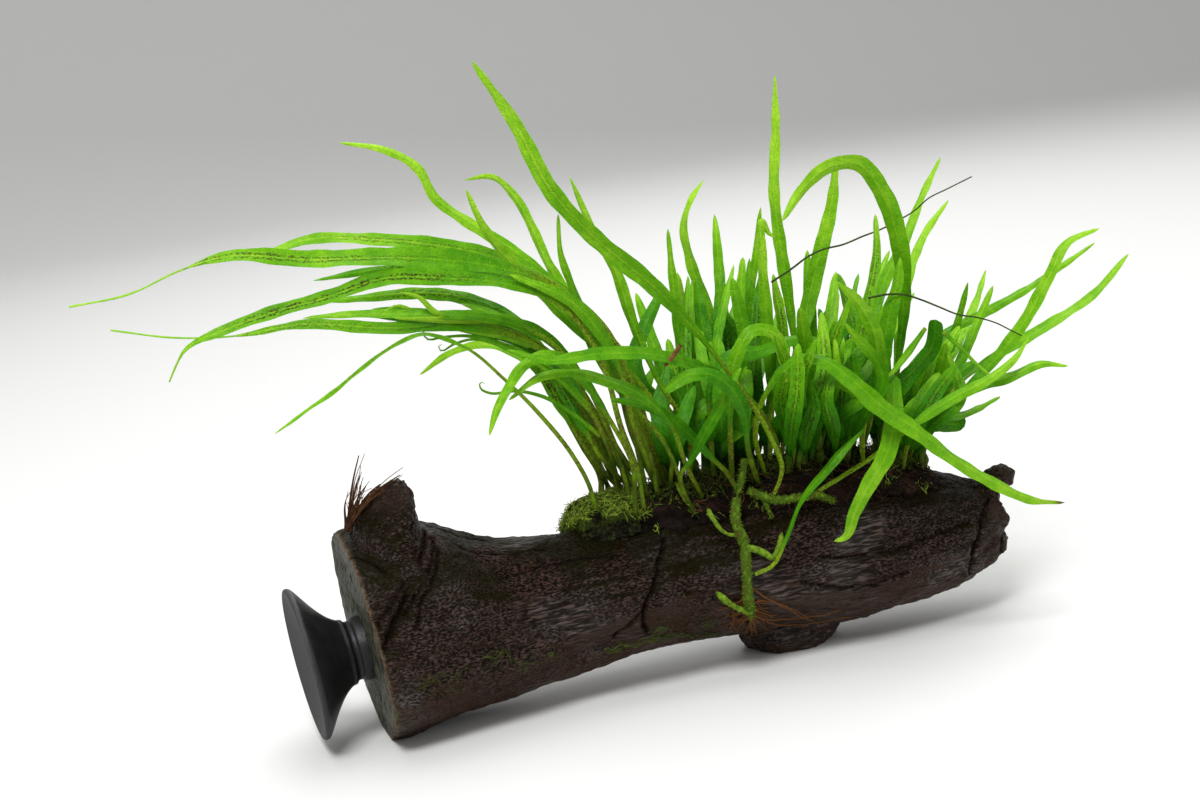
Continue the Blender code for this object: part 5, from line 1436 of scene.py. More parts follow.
LEAVES = (
    Leaf("tall_front", 6.4, None, -14, -16, (40, 30), ((48.7, -26.2), (51, -20), (48, -11), (38, 5),
         (28, 18), (15, 32), (0, 44.5), (-13, 58), (-24, 78), (-36, 95)), 0.22, Look(0.42, 0.88, 0.25)),
    Leaf("front_drooping", 5.8, (72, -11), -34, -16, (20, 10), ((73.5, -9), (78, 3), (81.5, 6), (82.3, -1),
         (80.2, -15), (75, -24), (71, -32), (68.4, -38.6), (65.5, -39.5)), 0.16, Look(0.3, 0.84)),
    Leaf("front_diagonal", 6.6, (43, -9), -36, -14, (30, 50), ((43.5, -11), (47, 3), (54, 11), (61, 11.5),
         (70, 6), (79, -2), (88, -8), (100, -17), (112, -24), (120, -27.6), (130, -28.7)), 0.12,
         Look(0.34, 0.86, brown_from=0.965)),
    Leaf("long_left", 7.2, (11.5, -6), -48, -6, (-30, -45), ((14, -16), (9, -2), (3, 18), (-12, 31.5),
         (-30, 37.3), (-55, 39.6), (-82, 39.1), (-104, 40), (-118, 36), (-131, 29.8), (-148.5, 26)), 0.3,
         Look(0.26, 0.84, 0.75, thread=0.17)),
    Leaf("upper_left", 5.6, (15, 2), 14, 4, (-30, -40), ((15, -15), (9, 5), (-4, 25), (-16, 35), (-30, 40),
         (-46, 43.2), (-64, 44.8), (-82, 44.7), (-97, 39)), 0.3, Look(0.28, 0.86, 0.6)),
    Leaf("sori_left", 5.4, (6, -10), -36, -12, (-25, -40), ((10.5, -20), (6, -8), (0, 12), (-10, 26),
         (-26, 32.2), (-44, 34), (-60, 34), (-76, 28.6), (-92, 24.2), (-106, 19), (-116, 14), (-120.5, 5)),
         0.3, Look(0.34, 0.76, 1, thread=0.04)),
    Leaf("low_left", 4.4, (4, -3), 12, -3, (-20, -40), ((6.5, -20), (2.5, -11.5), (-2.5, -1.5), (-9, 8),
         (-20, 16.8), (-38, 20.6), (-60, 20), (-84, 21), (-101, 18), (-119, 17.4), (-137, 19.5)), 0.3,
         Look(0.3, 0.8, 0.5, thread=0.2)),
    Leaf("middle_left", 4.4, (3, 3), 40, 2, (-20, -30), ((3.5, -19), (-1.5, -10), (-7.5, 1), (-14, 12),
         (-24, 23), (-36, 28.2), (-50, 30), (-64, 28.9), (-77, 27.5)), 0.35, Look(0.24, 0.68, 0.8)),
    Leaf("drooping_left", 3.6, (-7, -7), -28, -10, (-20, -30), ((-3, -24), (-8, -15), (-16, -5), (-27, 6),
         (-38, 15), (-50, 18.6), (-62, 12.6), (-74, 3), (-84, -4.2), (-91, -9.5)), 0.4,
         Look(0.34, 0.78, 0.5, turned=-45)),
    Leaf("short_left", 4, (-2, 4), 28, 3, (-20, -30), ((0, -22), (-5, -13), (-11, -2), (-16, 8), (-23, 18),
         (-31, 22.7), (-40, 23.6), (-47.5, 22)), 0.35),
    Leaf("pale_left", 3.4, (1.5, 9), 58, 6, (-25, -30), ((1, -20), (-5, -10), (-13, 2), (-22, 12),
         (-33, 15.5), (-42, 13), (-50.5, 7)), 0.35, Look(0.44, 0.9)),
    Leaf("arching_left", 4.2, (17, 9), 48, 8, (-20, -30), ((16, -10), (10, 8), (-2, 23), (-14, 33.5),
         (-26, 43), (-38, 50.6), (-46, 56.5), (-51, 65), (-61, 70.2), (-73, 72)), 0.25, Look(0.32, 0.96)),
    Leaf("rising_left", 4.4, (17, -2), 4, 10, (20, 30), ((20, -12), (10, 6), (-6, 20), (-20, 34), (-28, 42),
         (-33.5, 50), (-37.5, 59)), 0.25, Look(0.32, 0.96)),
    Leaf("back_left", 4.2, (24.5, 10), 70, 8, (25, 35), ((22, -8), (8, 10), (-6, 25), (-15, 39), (-19, 48),
         (-24, 57), (-30, 62.3), (-38, 61.5)), 0.25, Look(0.26, 0.96)),
    Leaf("yellowing", 4, (24, 1), -8, -8, (20, 40), ((25, -10), (16, 6), (9, 22), (4, 37), (-2.5, 48.5),
         (-8.5, 62.5)), 0.25, Look(0.3, 0.96)),
    Leaf("slim_left", 3.6, (19, -8), -24, -6, (20, 40), ((18, -12), (6, 2), (-2, 16), (-7, 30), (-10.8, 41),
         (-11.7, 52)), 0.25),
    Leaf("front_level", 4.8, (49, -6), -46, -14, (-40, -35), ((50, -14), (44, -2), (34, 6.5), (25, 10),
         (15, 12.5), (0, 12.8), (-15, 11), (-26, 14)), 0.16, Look(0.3, 0.64)),
    Leaf("left_hanging", 3.8, (3, -11), -52, -8, (-20, -20), ((9, -18), (3, -6), (-6, 7), (-14, 12.5),
         (-21, 10), (-26, 3), (-29, -3), (-31, -10)), 0.3),
    Leaf("front_low", 4.2, (23, -11), -42, -10, (-35, -40), ((24, -18), (20, -7), (12, 1), (2, 5.4),
         (-8, 7.8), (-17, 6.4), (-25.5, 0)), 0.22),
    Leaf("front_slanting", 4.4, None, -30, -4, (-25, -40), ((38.6, -25.6), (36, -21), (31, -16), (24, -9),
         (17, -3.5), (10, -1), (3, 0)), 0.18, Look(0.22, 0.58)),
    Leaf("front_upright", 3.8, (19, -13.5), -22, -6, (20, 30), ((22.6, -21), (25.4, -17), (29, -10),
         (33, -3), (36, 3), (39.5, 9)), 0.25, Look(0.18, 0.62)),
    Leaf("blunt_level", 5, (40, -11), -28, -10, (-20, -30), ((41.5, -14), (40.5, -4), (36, 4), (30, 7.2),
         (24, 6.6), (18, 2.5)), 0.2, Look(0.22, 0.58, blunt=True)),
    Leaf("curled_tip", 4.4, (33, -9), -20, -6, (20, 10), ((36.5, -10), (36.5, 3), (38.5, 13), (43, 19.4),
         (48, 19), (51, 14.6), (51.5, 9.5)), 0.2, Look(0.26, 0.82, blunt=True)),
    Leaf("broad_arch", 5.8, (30, -2), 4, -10, (35, 45), ((31, -8), (31, 4), (36, 12), (45, 14), (55, 17),
         (63, 15.6), (70, 10)), 0.2, Look(0.24, 0.54)),
    Leaf("notched", 4.4, (35, 6), 26, 6, (25, 40), ((37, -6), (34.5, 10), (30, 26), (25.2, 40),
         (23.6, 48.5), (25.4, 55.6), (29, 61.5)), 0.2, Look(0.26, 1)),
    Leaf("tall_thin", 4.8, (60, 7), 36, 4, (20, 40), ((57, -4), (55, 12), (53, 28), (50.6, 44), (49, 58),
         (49.3, 76), (49, 91)), 0.2, Look(0.34, 1.05)),
    Leaf("upright_middle", 5, (48, 0), -2, -4, (20, 30), ((48, -4), (47.6, 12), (46.4, 28), (45.6, 38),
         (46, 46)), 0.2, Look(0.24, 0.9)),
    Leaf("arching_right", 6.2, (83.5, 2), -22, -6, (30, 20), ((80, -8), (83.6, 12), (85, 30), (83.2, 46),
         (79, 58), (72, 66.3), (63.5, 65), (56.5, 58.8), (51, 50)), 0.15, Look(0.28, 0.94)),
    Leaf("upright_tall", 5.6, (53, 3), 14, 5, (20, 20), ((52, -4), (54.4, 10), (58, 26), (61.5, 41),
         (64.8, 55), (66, 68)), 0.18, Look(0.24, 0.9)),
    Leaf("upright_right", 4.6, (68.5, -2), 4, -5, (25, 30), ((68, -6), (71.5, 12), (75, 28), (77.2, 40),
         (77, 52)), 0.18, Look(0.3, 0.84, 0.6)),
    Leaf("rising_right", 4.4, (75.5, 5), 40, 5, (20, 35), ((72, -4), (75, 16), (79, 32), (84.5, 43),
         (90, 57), (95.3, 68)), 0.2, Look(0.26, 0.92)),
    Leaf("back_right", 4.2, (87, 9), 66, 6, (20, 30), ((82, -4), (83.5, 16), (86, 34), (90.5, 46),
         (97.5, 56)), 0.2, Look(0.26, 0.98)),
    Leaf("broad_right", 5.6, (74, -5), -16, -8, (20, 25), ((75, -8), (78, 8), (81, 24), (83.2, 33),
         (84, 40)), 0.16, Look(0.22, 0.7)),
    Leaf("front_bright", 5.2, (81, -10), -54, -10, (15, 20), ((82, -12), (80.5, 0), (78.2, 10), (76, 21),
         (72, 27.6), (66.5, 33)), 0.16, Look(0.44, 0.88)),
    Leaf("dark_cut", 6.4, (80, -3), -20, -4, (25, 35), ((79, -8), (83, 3), (89, 9.5), (93, 15), (94, 22.5)),
         0.14, Look(0.16, 0.34, 0.4, blunt=True)),
    Leaf("far_right", 4.8, (89, -4), -16, -6, (25, 35), ((88, -12), (99, 0), (109, 9.5), (118, 20.5),
         (125.5, 34), (131, 44), (139.7, 48)), 0.2, Look(0.34, 0.9)),
    Leaf("far_right_thin", 3.4, (83.5, 7), 54, 6, (20, 30), ((79, -8), (85, 7), (95, 17.6), (108, 24.6),
         (122, 32.6), (138.5, 44)), 0.25),
    Leaf("far_right_low", 4.6, (93, 2), 24, 5, (30, 40), ((91, -12), (99, 3), (112, 13), (125, 20.6),
         (138, 29.3), (148, 41)), 0.25, Look(0.34, 0.9)),
    Leaf("low_right", 4, (85, -9), -36, -6, (30, 40), ((86, -13), (92, -3), (103, 3), (115, 6.6),
         (124, 10.2), (131, 9.5)), 0.25),
    Leaf("from_creeping", 3.8, None, -30, -6, (20, 30), ((61.2, -25.4), (69, -20.6), (77, -15.4),
         (88, -6.6), (99, 0.6), (109, 6), (116, 11.6), (120, 17.5)), 0.3, Look(0.36, 0.86)),
    Leaf("from_hanging", 3.6, None, -30, -3, (30, 40), ((43.4, -48.8), (48, -46.6), (52, -39), (56.5, -28),
         (63, -20), (69, -13), (74, -8)), 0.16, Look(0.44, 0.5, late=2)),
    Leaf("pale_right", 4, (91, 5), 60, 5, (20, 30), ((89, -8), (95, 6), (101, 18), (105.5, 28),
         (108, 36.5)), 0.25, Look(0.44, 0.9)),
)


@dataclass
class Shoot:
    """Short leaves that spring from one bud, each with its width, tip in the view, depth and lean."""

    name: str
    foot: tuple[float, float]
    leaves: tuple


SHOOTS = (
    Shoot("shoot_left", (27, 7), (
        (4.6, (26, 34), 34, 18),
        (4.2, (10, 30), 44, -8),
        (3.8, (38, 28), 52, 12),
        (3.4, (19, 48), 12, 24),
    )),
    Shoot("shoot_middle", (41, 10), (
        (4.8, (40, 40), 34, 14),
        (4, (32, 52), 58, -8),
        (3.6, (52, 30), 68, 10),
        (3.2, (45, 54), 12, 30),
    )),
    Shoot("shoot_right", (66, 9), (
        (4.8, (66, 36), 44, 12),
        (4.2, (58, 42), 20, -6),
        (3.6, (81, 42), 60, 16),
        (3.4, (88, 30), 28, 24),
    )),
    Shoot("shoot_front", (60, -8), (
        (5.2, (56, 26), -26, 10),
        (4.8, (66, 22), -22, -8),
        (4.2, (49, 18), -34, 14),
        (3.4, (86.7, 40), -8, 20),
    )),
    Shoot("shoot_far_right", (94, -3), (
        (4, (97, 16), -28, 12),
        (3.4, (110, 32), 14, -8),
        (3, (103, 33), -6, 16),
        (2.8, (112, 1), 8, 24),
    )),
)


class LeafBed:
    """Places leaves one after another, each bowed in depth by the least that clears those already there."""

    gap = 0.3
    clearance = 0.5
    thickness = 0.9
    bows = (0, 2, -2, 4, -4, 6, -6, 8, -8, 11, -11, 14, -14, 18, -18)
    drifts = (0, 3, -3, 6, -6, 10, -10, 15, -15)

    def __init__(self) -> None:
        """Starts with no leaf placed."""
        self.places = np.zeros((0, 3))
        self.sizes = np.zeros((0, 2))

    def crowding(self, places: Array, sizes: Array) -> float:
        """How deeply points, with half widths in the view and in depth, run into those already placed."""
        offset = places[:, None, :] - self.places[None, :, :]
        reach = sizes[:, None, :] + self.sizes[None, :, :] + self.gap
        beside = (offset[..., 0] ** 2 + offset[..., 1] ** 2) / reach[..., 0] ** 2
        behind = (offset[..., 2] / reach[..., 1]) ** 2
        return float(np.clip(1 - beside - behind, 0, None).sum())

    def place(self, plan: Array, depth: Array, width: Array, lean: Array, step: int = 1) -> Array:
        """The depth of a leaf's points once it clears the others.

        Each bow and drift is tried as depth + bow * sin(pi * t^0.6) + drift * t, with t the part of the
        length, and the one that crowds least is kept.

        Args:
            plan: The leaf's places in the view.
            depth: Its wished depth at each.
            width: Its width at each.
            lean: How far its width turns out of the view's plane at each, in radians.
            step: Only every so many points, bows and drifts are looked at.

        Returns:
            The depth at each point.
        """
        part = np.linspace(0, 1, len(plan))
        thickness = width * np.abs(np.sin(lean)) + self.thickness
        sizes = (np.column_stack([width * np.cos(lean), thickness]) + self.clearance) / 2
        best = None
        for bow, drift in itertools.product(self.bows[:: (step + 1) // 2], self.drifts[:: (step + 1) // 2]):
            tried = depth + bow * np.sin(math.pi * part**0.6) + drift * part
            points = np.column_stack([plan, tried])[::step]
            cost = self.crowding(points, sizes[::step]) + 0.01 * (abs(bow) + abs(drift))
            if best is None or cost < best[0]:
                best = (cost, tried)
        self.places = np.concatenate([self.places, np.column_stack([plan, best[1]])[::step]])
        self.sizes = np.concatenate([self.sizes, sizes[::step]])
        return best[1]

    def thin_out(self, step: int) -> None:
        """Keeps only every so many of the placed points."""
        self.places, self.sizes = self.places[::step], self.sizes[::step]


# Torn tips, young leaves and curled tendrils: width, depth at foot and tip or the leaf that each lies before,
# places in the view, and look.
SCRAPS = (
    (2.4, (2, 4), ((45.4, 40), (45.5, 50), (47.5, 46.5), (49, 45.5)), Look(0.7, 0.9)),
    (2.2, (-24, -34), ((91, 20), (86, 13), (82, 8), (79.5, 5.7)), Look(0.5, 0.75)),
    (1.3, (-26, -30), ((96, 19), (101, 14.5), (105, 10.5), (110.5, 5.7)), Look(0.5, 0.8)),
    (2.2, (-24, -26), ((56, 12), (54.6, 8.5), (53, 6), (51.8, 5)), Look(0.8, 0.95)),
    (1.6, "front_level", ((22.6, 15.5), (21, 13), (19.5, 11), (18, 9.2)), Look(0.3, 0.3, brown_from=0)),
    (2.8, (2, -2), ((-4, 3), (-14, 13), (-26, 19), (-37, 21.5), (-46, 24.5), (-51, 29), (-56, 30.2)),
         Look(0.7, 0.95)),
    (2.2, (4, 2), ((-2, 2), (-12, 11), (-24, 17), (-38, 20), (-50, 23.5), (-57, 26.4), (-60.5, 24.8)),
         Look(0.7, 0.9)),
    (2.8, (3, -3), ((-4, 0), (-12, 10), (-22, 17.5), (-34, 21.4), (-46, 22.4), (-57.5, 22.8)),
         Look(0.7, 0.95)),
    (1.2, (-12, -22), ((-3, -2), (-14, 9), (-26, 15.4), (-38, 18), (-44, 17.6), (-48.6, 17.2), (-49.6, 19),
         (-48.2, 19.4)), Look(0.6, 0.5)),
    (1.2, (-12, -24), ((-2, -4), (-12, 6), (-24, 13.4), (-36, 17), (-41, 15.6), (-44.6, 13.8),
         (-45.2, 15.2), (-44.2, 15.6)), Look(0.6, 0.5)),
    (1.2, (-12, -26), ((0, -10), (-8, -3.6), (-16, 1), (-24, 2.6), (-31, 2), (-33.4, 3.2), (-33.6, 5),
         (-32.2, 4.6)), Look(0.6, 0.5)),
)

# Dry strands through the leaves: depth at both ends and places in the view.
DRY_STRANDS = (
    (9, 14, ((48, 33), (54, 37), (58, 40), (62, 42), (68, 43.5), (74, 46), (78, 47.5), (83, 50), (88, 53),
         (92, 56.5), (97, 59), (104, 62.5))),
    (-20, -30, ((75, 28.5), (80, 29.5), (85, 29.5), (90, 28), (95, 26), (100, 24), (106, 23), (111, 21.5),
         (115, 19.5), (118, 18))),
)


@dataclass
class Fern:
    """All the leaves: those that stand alone, the shoots with their short leaves, and some torn bits."""

    rings: int = 84
    sides: int = 20
    samples: int = 40
    stalk_width: float = 1.3
    thread_width: float = 0.6
    least_width: float = 0.12
    wing_width: float = 1.7
    thin: float = 0.17
    rib: float = 0.16
    rib_width: float = 0.3
    fold: float = 0.24
    waving: float = 0.2
    # How long the swings of a blade's width and of its lean are.
    swell_pitch: float = 7.3
    twist_pitch: float = 47.0
    bud: tuple = ((0, 0, 0.2), (0.3, 0, 2.4), (0.2, 0, 5))
    bud_samples: int = 6
    shoot_extras: int = 20
    fan_extras: int = 18
    seed: int = 37
    bed: LeafBed = field(default_factory=LeafBed)
    laid: dict[str, Array] = field(default_factory=dict)

    def widths(self, part: Array, leaf: Leaf) -> Array:
        """Width along a leaf: a thin stalk, a blade that widens slowly, then narrows to its point.

        From the stalk's end, with b the part of the blade, the width rises by 3t^2 - 2t^3 over the first 0.45
        of it, and falls as sqrt(1 - b^(2.25 / point)) * (1 - point * b^2).
        """
        blade = held((part - leaf.stalk) / (1 - leaf.stalk))
        rise = smoothstep(0, 0.45, blade)
        fall = np.sqrt(held(1 - blade ** (2.25 / leaf.point))) * (1 - leaf.point * blade**2)
        return (self.stalk_width + (leaf.width - self.stalk_width) * rise) * fall

    def ended(self, part: Array, leaf: Leaf, look: Look) -> Array:
        """Width along a leaf that may be widest late, and end in a thread or blunt.

        Args:
            part: The part of the length, from 0 to 1.
            leaf: Its sizes.
            look: How it ends.

        Returns:
            The width at each part.
        """
        width = self.widths(np.minimum(part / (1 - look.thread), 1) ** look.late, leaf)
        if look.thread:
            width = np.maximum(width, self.thread_width)
        if look.blunt:
            blade = held((part - leaf.stalk) / (1 - leaf.stalk))
            square = leaf.width * 0.8 * np.sqrt(held(1 - blade**40))
            width = np.maximum(width, square * smoothstep(0.4, 0.7, blade))
        return width

    def line(self, leaf: Leaf, foot_depth: float, free: int, step: int = 1) -> tuple[Array, Array]:
        """A leaf's middle line and its leans, moved in depth clear of the leaves already there.

        Args:
            leaf: Its places in the view, depths and leans.
            foot_depth: Its depth at the foot.
            free: How many samples, from the foot on, may touch others.
            step: Only every so many points are tried.

        Returns:
            The middle line and the leans in radians.
        """
        plan = smooth_line(leaf.points, self.samples)
        part = np.linspace(0, 1, self.samples)
        depth = foot_depth + (leaf.tip_depth - foot_depth) * part**1.3 + leaf.bow * np.sin(math.pi * part)
        lean = np.radians(leaf.lean[0] + (leaf.lean[1] - leaf.lean[0]) * part)
        placed = self.bed.place(plan[free:], depth[free:], self.widths(part, leaf)[free:], lean[free:], step)
        depth[:free] += (placed[0] - depth[free]) * part[:free] / part[free]
        depth[free:] = placed
        return VIEW.seen(*plan.T, depth), lean

    def blade(self, line: Array, leaf: Leaf, lean: Array, look: Look, number: int, fine: float) -> Surface:
        """A leaf's closed skin: thin across, thicker at the rib, folded along it and wavy at its margins.

        With u from -1 at one margin to 1 at the other, each section runs u * half along the leaf's edge
        direction, and along its face: thin * sin t for the thickness, rib * exp(-(u * half / rib_width)^2)
        for the rib, fold * |u| * half for the fold, and waving * u^2 * sin(2 pi s / pitch) for the waves.

        Args:
            line: The leaf's middle line.
            leaf: Its sizes.
            lean: How far its width turns out of the view's plane, in radians.
            look: Its colours.
            number: Picks its fold, its waves and its place on the vein map.
            fine: The share of the full number of rings and sides.

        Returns:
            The closed leaf.
        """
        rng = np.random.default_rng(self.seed + number)
        rings, sides = int(self.rings * fine), 2 * int(self.sides * fine / 2)
        line, lean = resampled(line, rings), resampled(lean[:, None], rings)
        part, reach = np.linspace(0, 1, rings)[:, None], reach_along(line)[:, None]
        bare = 1 - smoothstep(leaf.stalk, leaf.stalk + 0.12, part)
        flat = 1 - bare
        pitch, phase = rng.uniform(8, 15), rng.uniform(0, 2 * math.pi, 3)
        fold = self.fold * rng.choice((-1, 1)) * rng.uniform(0.4, 1)
        wing = smoothstep(0, 0.05, part) * smoothstep(0.9, 0.6, part)
        wing = np.maximum(min(self.wing_width, 0.36 * leaf.width) * wing, self.least_width)
        half = np.maximum(self.ended(part, leaf, look), wing) / 2
        half = half * (1 + 0.03 * np.sin(2 * math.pi * reach / self.swell_pitch + phase[0]) * flat)
        lean = lean + math.radians(look.turned) * smoothstep(0.2, 0.4, part)
        lean = lean + 0.12 * np.sin(2 * math.pi * reach / self.twist_pitch + phase[1]) * flat
        turn = full_turn(sides)[None]
        u = np.cos(turn) * np.abs(np.cos(turn)) ** (0.4 * flat)
        aside = u * half
        thick = np.minimum(self.thin, half) * flat + np.minimum(half, 0.4) * bare
        taper = np.minimum(1, half / 1.2)
        waves = np.sin(2 * math.pi * reach / pitch + phase[2] + 1.4 * np.sign(u))
        out = np.sin(turn) * (thick + self.rib * flat * taper * hill(aside / self.rib_width))
        out += flat * (fold * np.abs(aside) + self.waving * taper * u**2 * waves)
        across, inward = VIEW.frames_along(line)
        edge = across * np.cos(lean) + inward * np.sin(lean)
        face = inward * np.cos(lean) - across * np.sin(lean)
        points = line[:, None] + edge[:, None] * aside[..., None] + face[:, None] * out[..., None]
        speck = lattice_noise(points * 0.25, 151 + number)
        window = smoothstep(leaf.stalk + 0.1, leaf.stalk + 0.3, part) * (1 - smoothstep(0.78, 0.92, part))
        values = {
            # The tone rises from foot to tip: partly the leaf's own paler tip, partly painted glow of the
            # light shining through it.
            "tone": look.foot + (look.tip - look.foot) * part**0.85 + 0.05 * speck,
            "spores": look.spores * window,
            "withered": smoothstep(look.brown_from - 0.02, look.brown_from + 0.03, part + 0.02 * speck),
            "stalk": bare,
        }
        places = np.stack([aside, reach + 41 * number + 0 * aside], axis=-1)
        return lofts(points[None], values, places[None])

    @staticmethod
    def stand(foot: tuple[float, float]) -> Array:
        """Where a stalk or a bud stands on the felt."""
        return np.array([*foot, GROUND.felt_top(*foot) + 0.8])

    def single(self, leaf: Leaf, number: int) -> Surface:
        """A leaf that stands alone, from its foot on the felt or on the wood.

        Args:
            leaf: The leaf.
            number: Picks its fold and its waves.

        Returns:
            Its closed skin.
        """
        if leaf.foot is None:
            foot_depth = GROUND.resting_depth(*leaf.points[0], 1.9)
        else:
            foot_depth = leaf.foot[1]
            leaf = replace(leaf, points=(VIEW.in_view(self.stand(leaf.foot)), *leaf.points))
        line, lean = self.line(leaf, foot_depth, free=0)
        self.laid[leaf.name] = line
        return self.blade(line, leaf, lean, leaf.look, number, fine=1)

    def short(
        self, foot: tuple, row: tuple, rise: float, bare: float, sway: float = 0.0, step: int = 1
    ) -> tuple[Array, Leaf, Array]:
        """The line, sizes and leans of a short leaf that rises from a foot on the felt, swaying aside.

        Args:
            foot: Where it stands on the felt: x and depth.
            row: Its width, its tip in the view, its depth and its lean.
            rise: How far above its foot's place it starts.
            bare: The part of its length that is stalk.
            sway: How far its middle is moved aside.
            step: Only every so many points are tried.

        Returns:
            The middle line, the sizes and the leans in radians.
        """
        right, up = VIEW.in_view(self.stand(foot) + (0, 0, rise))
        width, (tip_right, tip_up), tip_depth, lean = row
        swing = 0.35 * (tip_right - right)
        points = (
            (right, up),
            (right + 0.3 * swing + 0.4 * sway, up + 10),
            (right + 1.6 * swing + sway, (up + tip_up) / 2 + 4),
            (tip_right, tip_up),
        )
        leaf = Leaf("short", width, None, tip_depth, 0, (lean, lean + 15), points, 0.15, point=0.26)
        line, leans = self.line(leaf, foot[1], self.bud_samples, step)
        return line, replace(leaf, stalk=bare), leans

    def shoot(self, shoot: Shoot, index: int) -> Surface:
        """A bud with its leaves.

        Args:
            shoot: The bud's place and its leaves.
            index: Picks the leaves' folds and waves.

        Returns:
            The bud and its leaves.
        """
        middle = smooth_line(self.stand(shoot.foot) + self.bud, 14)
        bud = tube(middle, graded((1, 1.5, 1.4, 0.8), 14), sides=16)
        parts = [lofts(roughened(bud, 1, amount=0.3, seed=161), {"tone": 0.2, "stalk": 1})]
        for number, row in enumerate(shoot.leaves, 100 + 20 * index):
            laid = self.short(shoot.foot, row, rise=2.4, bare=0.08)
            parts.append(self.blade(*laid, Look(0.2, 0.78), number, fine=0.66))
        return Surface.joined(parts)

    def thicket(self, shoot: Shoot, index: int) -> Surface:
        """More short leaves round a bud for the dense heart, their tips between its leaves' tips.

        Args:
            shoot: The bud's place and its leaves.
            index: Picks the random draws.

        Returns:
            The extra leaves.
        """
        rng = np.random.default_rng(self.seed + 500 + index)
        bud_x, bud_depth = shoot.foot
        base = np.array([*VIEW.in_view(self.stand(shoot.foot)), bud_depth])
        tips = np.array([(*tip, depth) for _, tip, depth, _ in shoot.leaves])
        parts = []
        for number in range(self.shoot_extras):
            first, second = rng.choice(len(tips), 2, replace=False)
            low = number % 3 == 2
            share, reach = rng.uniform(0.1, 0.9), rng.uniform(0.3, 0.55) if low else rng.uniform(0.5, 0.98)
            right, up, depth = base + (blend(tips[first], tips[second], share) - base) * reach
            x = float(np.clip(bud_x + rng.uniform(-11, 11), 8, 92))
            foot = (x, 6 if low else float(np.clip(bud_depth + rng.uniform(-6, 6), -9, 9)))
            right += 0.6 * (x - bud_x)
            width = rng.uniform(4.6, 6.2) if low else rng.uniform(3.4, 5.6)
            row = (width, (right, up), 12 if low else depth, rng.uniform(-15, 35))
            laid = self.short(foot, row, rise=-0.8, bare=0.04, sway=rng.normal(0, 4), step=4)
            look = Look(0.12, rng.uniform(0.45, 0.9), spores=rng.choice((0, 0, 0.7)))
            parts.append(self.blade(*laid, look, 400 + 30 * index + number, fine=0.58))
        return Surface.joined(parts)

    def companions(self) -> Surface:
        """Leaves of the left-hand fan that end inside it, each laid between two of the named leaves."""
        rng = np.random.default_rng(self.seed + 900)
        named = {leaf.name: leaf for leaf in LEAVES}
        fan = [named[f"{name}_left"] for name in ("upper", "long", "sori", "low", "middle", "short", "pale")]
        parts = []
        for number in range(self.fan_extras):
            first = number % (len(fan) - 1)
            near, far = fan[first : first + 2]
            share, reach = rng.uniform(0.25, 0.75), rng.uniform(0.42, 0.8)
            rows = ((VIEW.in_view(self.stand(leaf.foot)), *leaf.points) for leaf in (near, far))
            plan = blend(*(smooth_line(row, 41) for row in rows), share)[: int(41 * reach) : 4]
            foot = blend(np.array(near.foot), np.array(far.foot), share) + (rng.uniform(-1, 7), 3)
            plan[0] = VIEW.in_view(self.stand(foot))
            depth = blend(near.tip_depth, far.tip_depth, share) * reach + rng.uniform(-8, 12)
            leaf = Leaf("fan", rng.uniform(3, 4.4), foot, depth, 0, (-15, -30), plan, 0.4)
            line, lean = self.line(leaf, foot[1], free=2, step=4)
            look = Look(0.2, rng.uniform(0.45, 0.8), spores=rng.choice((0, 1)))
            parts.append(self.blade(line, leaf, lean, look, 700 + number, fine=0.66))
        return Surface.joined(parts)

    def scraps(self) -> Surface:
        """Torn tips and small leaves that no shoot carries, each laid along its own places in the view."""
        parts = []
        for number, (width, depths, points, look) in enumerate(SCRAPS):
            plan = smooth_line(points, self.samples)
            if isinstance(depths, str):
                under = self.laid[depths]
                away = np.linalg.norm(np.column_stack(VIEW.in_view(under)) - plan.mean(axis=0), axis=1)
                depths = (under[np.argmin(away), 1] - 2,) * 2
            line = VIEW.seen(*plan.T, np.linspace(*depths, self.samples))
            leaf = Leaf("scrap", width, None, 0, 0, (0, 0), points, 0)
            parts.append(self.blade(line, leaf, np.full(self.samples, 0.3), look, 300 + number, fine=0.5))
        return Surface.joined(parts)

    @staticmethod
    def dry_strands() -> Surface:
        """Two long thin dry strands that hang through the leaves."""
        parts = []
        for near, far, route in DRY_STRANDS:
            line = VIEW.seen(*smooth_line(route, 60).T, np.linspace(near, far, 60))
            parts.append(strands(line[None], np.linspace(0.32, 0.18, 60), 6, 0.4))
        return Surface.joined(parts)

    def build(self) -> list[bpy.types.Object]:
        """Makes every leaf, from the front ones back, then the shoots and the torn bits."""
        skin = LeafSkin().material()
        made = [
            self.single(leaf, number).piece(f"blade_{leaf.name}", skin, "leaf", f"leaf_{leaf.name}")
            for number, leaf in enumerate(LEAVES)
        ]
        for index, shoot in enumerate(SHOOTS):
            leaves = self.shoot(shoot, index)
            made.append(leaves.piece(f"leaves_{shoot.name}", skin, "young_leaf", shoot.name))
        self.bed.thin_out(2)
        made.append(self.companions().piece("leaves_left_fan", skin, "leaf"))
        for index, shoot in enumerate(SHOOTS):
            made.append(self.thicket(shoot, index).piece(f"short_{shoot.name}", skin, "young_leaf"))
        made.append(self.scraps().piece("torn_leaves", skin, "leaf"))
        dry = Fibre("dry_strand", (0.01, 0.016, 0.003), (0.034, 0.064, 0.008), (0.11, 0.13, 0.03)).material()
        made.append(self.dry_strands().piece("dry_strands", dry, "roots", crease=SOFT))
        return made


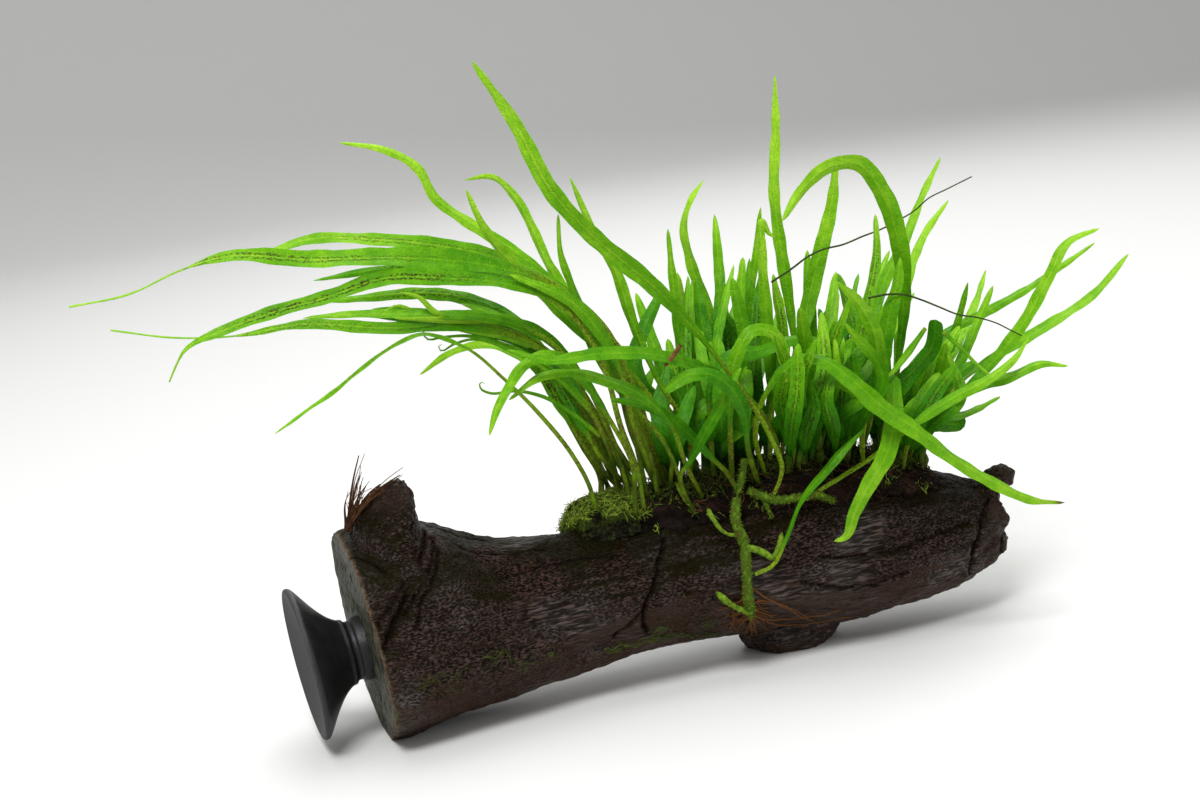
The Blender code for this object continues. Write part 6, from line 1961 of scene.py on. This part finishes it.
class Lamp(Enum):
    """The studio's soft lamps: their place, size and strength, all aimed at the plant."""

    KEY = ((-0.35, -0.6, 1), 0.4, 12)
    FILL = ((0.85, -0.7, 0.45), 0.9, 2.5)
    TOP = ((0.05, 0.15, 1.15), 0.8, 7)
    BACK = ((0.35, 0.8, 0.75), 0.8, 5)


@dataclass
class Studio:
    """A pale floor that curves up behind, soft lamps and the photograph's camera."""

    lens: float = 70.0
    sensor: float = 36.0
    aim: tuple[float, float, float] = (0.0, 0.0, 0.085)
    world: float = 0.42

    def floor(self) -> bpy.types.Object:
        """A wide sheet, level below the plant and rising behind it along a quarter circle."""
        turn = np.linspace(0, math.pi / 2, 24)
        back = np.concatenate([[-3], 1.2 + 0.8 * np.sin(turn), [2]])
        height = np.concatenate([[0], 0.8 - 0.8 * np.cos(turn), [3]]) - 0.0002
        rows = [[(side, y, z) for side in (-4, 4)] for y, z in zip(back, height)]
        mesh = bpy.data.meshes.new("floor")
        faces = [(2 * row, 2 * row + 1, 2 * row + 3, 2 * row + 2) for row in range(len(rows) - 1)]
        mesh.from_pydata([point for row in rows for point in row], [], faces)
        mesh.shade_smooth()
        board = NodeBoard("pale_floor")
        pale = {"Base Color": (0.66, 0.66, 0.65), "Roughness": 0.9}
        mesh.materials.append(board.finish(board.add("ShaderNodeBsdfPrincipled", 0, pale)))
        return placed("floor", mesh)

    def lamps(self) -> list[bpy.types.Object]:
        """One soft square lamp for each of the studio's lights."""
        made = []
        for lamp in Lamp:
            place, size, power = lamp.value
            data = bpy.data.lights.new(f"lamp_{lamp.name.lower()}", "AREA")
            data.size, data.energy = size, power
            light = placed(data.name, data)
            light.location = place
            light.rotation_euler = (Vector(place) - Vector(self.aim)).to_track_quat("Z", "Y").to_euler()
            made.append(light)
        return made

    def camera(self) -> bpy.types.Object:
        """The photograph's camera, from the view's own directions."""
        data = bpy.data.cameras.new("camera")
        data.lens, data.sensor_width = self.lens, self.sensor
        made = placed("camera", data)
        matrix = np.eye(4)
        matrix[:3, :3] = np.column_stack([VIEW.right, VIEW.up, -VIEW.ahead])
        matrix[:3, 3] = (VIEW.eye - ORIGIN) * MM
        made.matrix_world = Matrix(matrix)
        bpy.context.scene.camera = made
        return made

    def build(self) -> None:
        """Sets the floor, the lamps, the world and the camera."""
        self.floor()
        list(self.lamps())
        self.camera()
        world = bpy.data.worlds.new("studio")
        world.use_nodes = True
        sky = world.node_tree.nodes["Background"].inputs
        sky["Color"].default_value = (1, 1, 1, 1)
        sky["Strength"].default_value = self.world
        bpy.context.scene.world = world
        bpy.context.scene.view_settings.view_transform = "Standard"


def main() -> None:
    """Builds every sub-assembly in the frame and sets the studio."""
    logging.basicConfig(level=logging.INFO, format="%(relativeCreated)d ms: %(message)s")
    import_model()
    for assembly in (Driftwood(), SuctionCup(), Cushion(), Rhizomes(), FibreTuft(), Fern()):
        made = assembly.build()
        LOG.info("%s: %d pieces", type(assembly).__name__, len(made))
    Studio().build()
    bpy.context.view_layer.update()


if __name__ == "__main__":
    main()
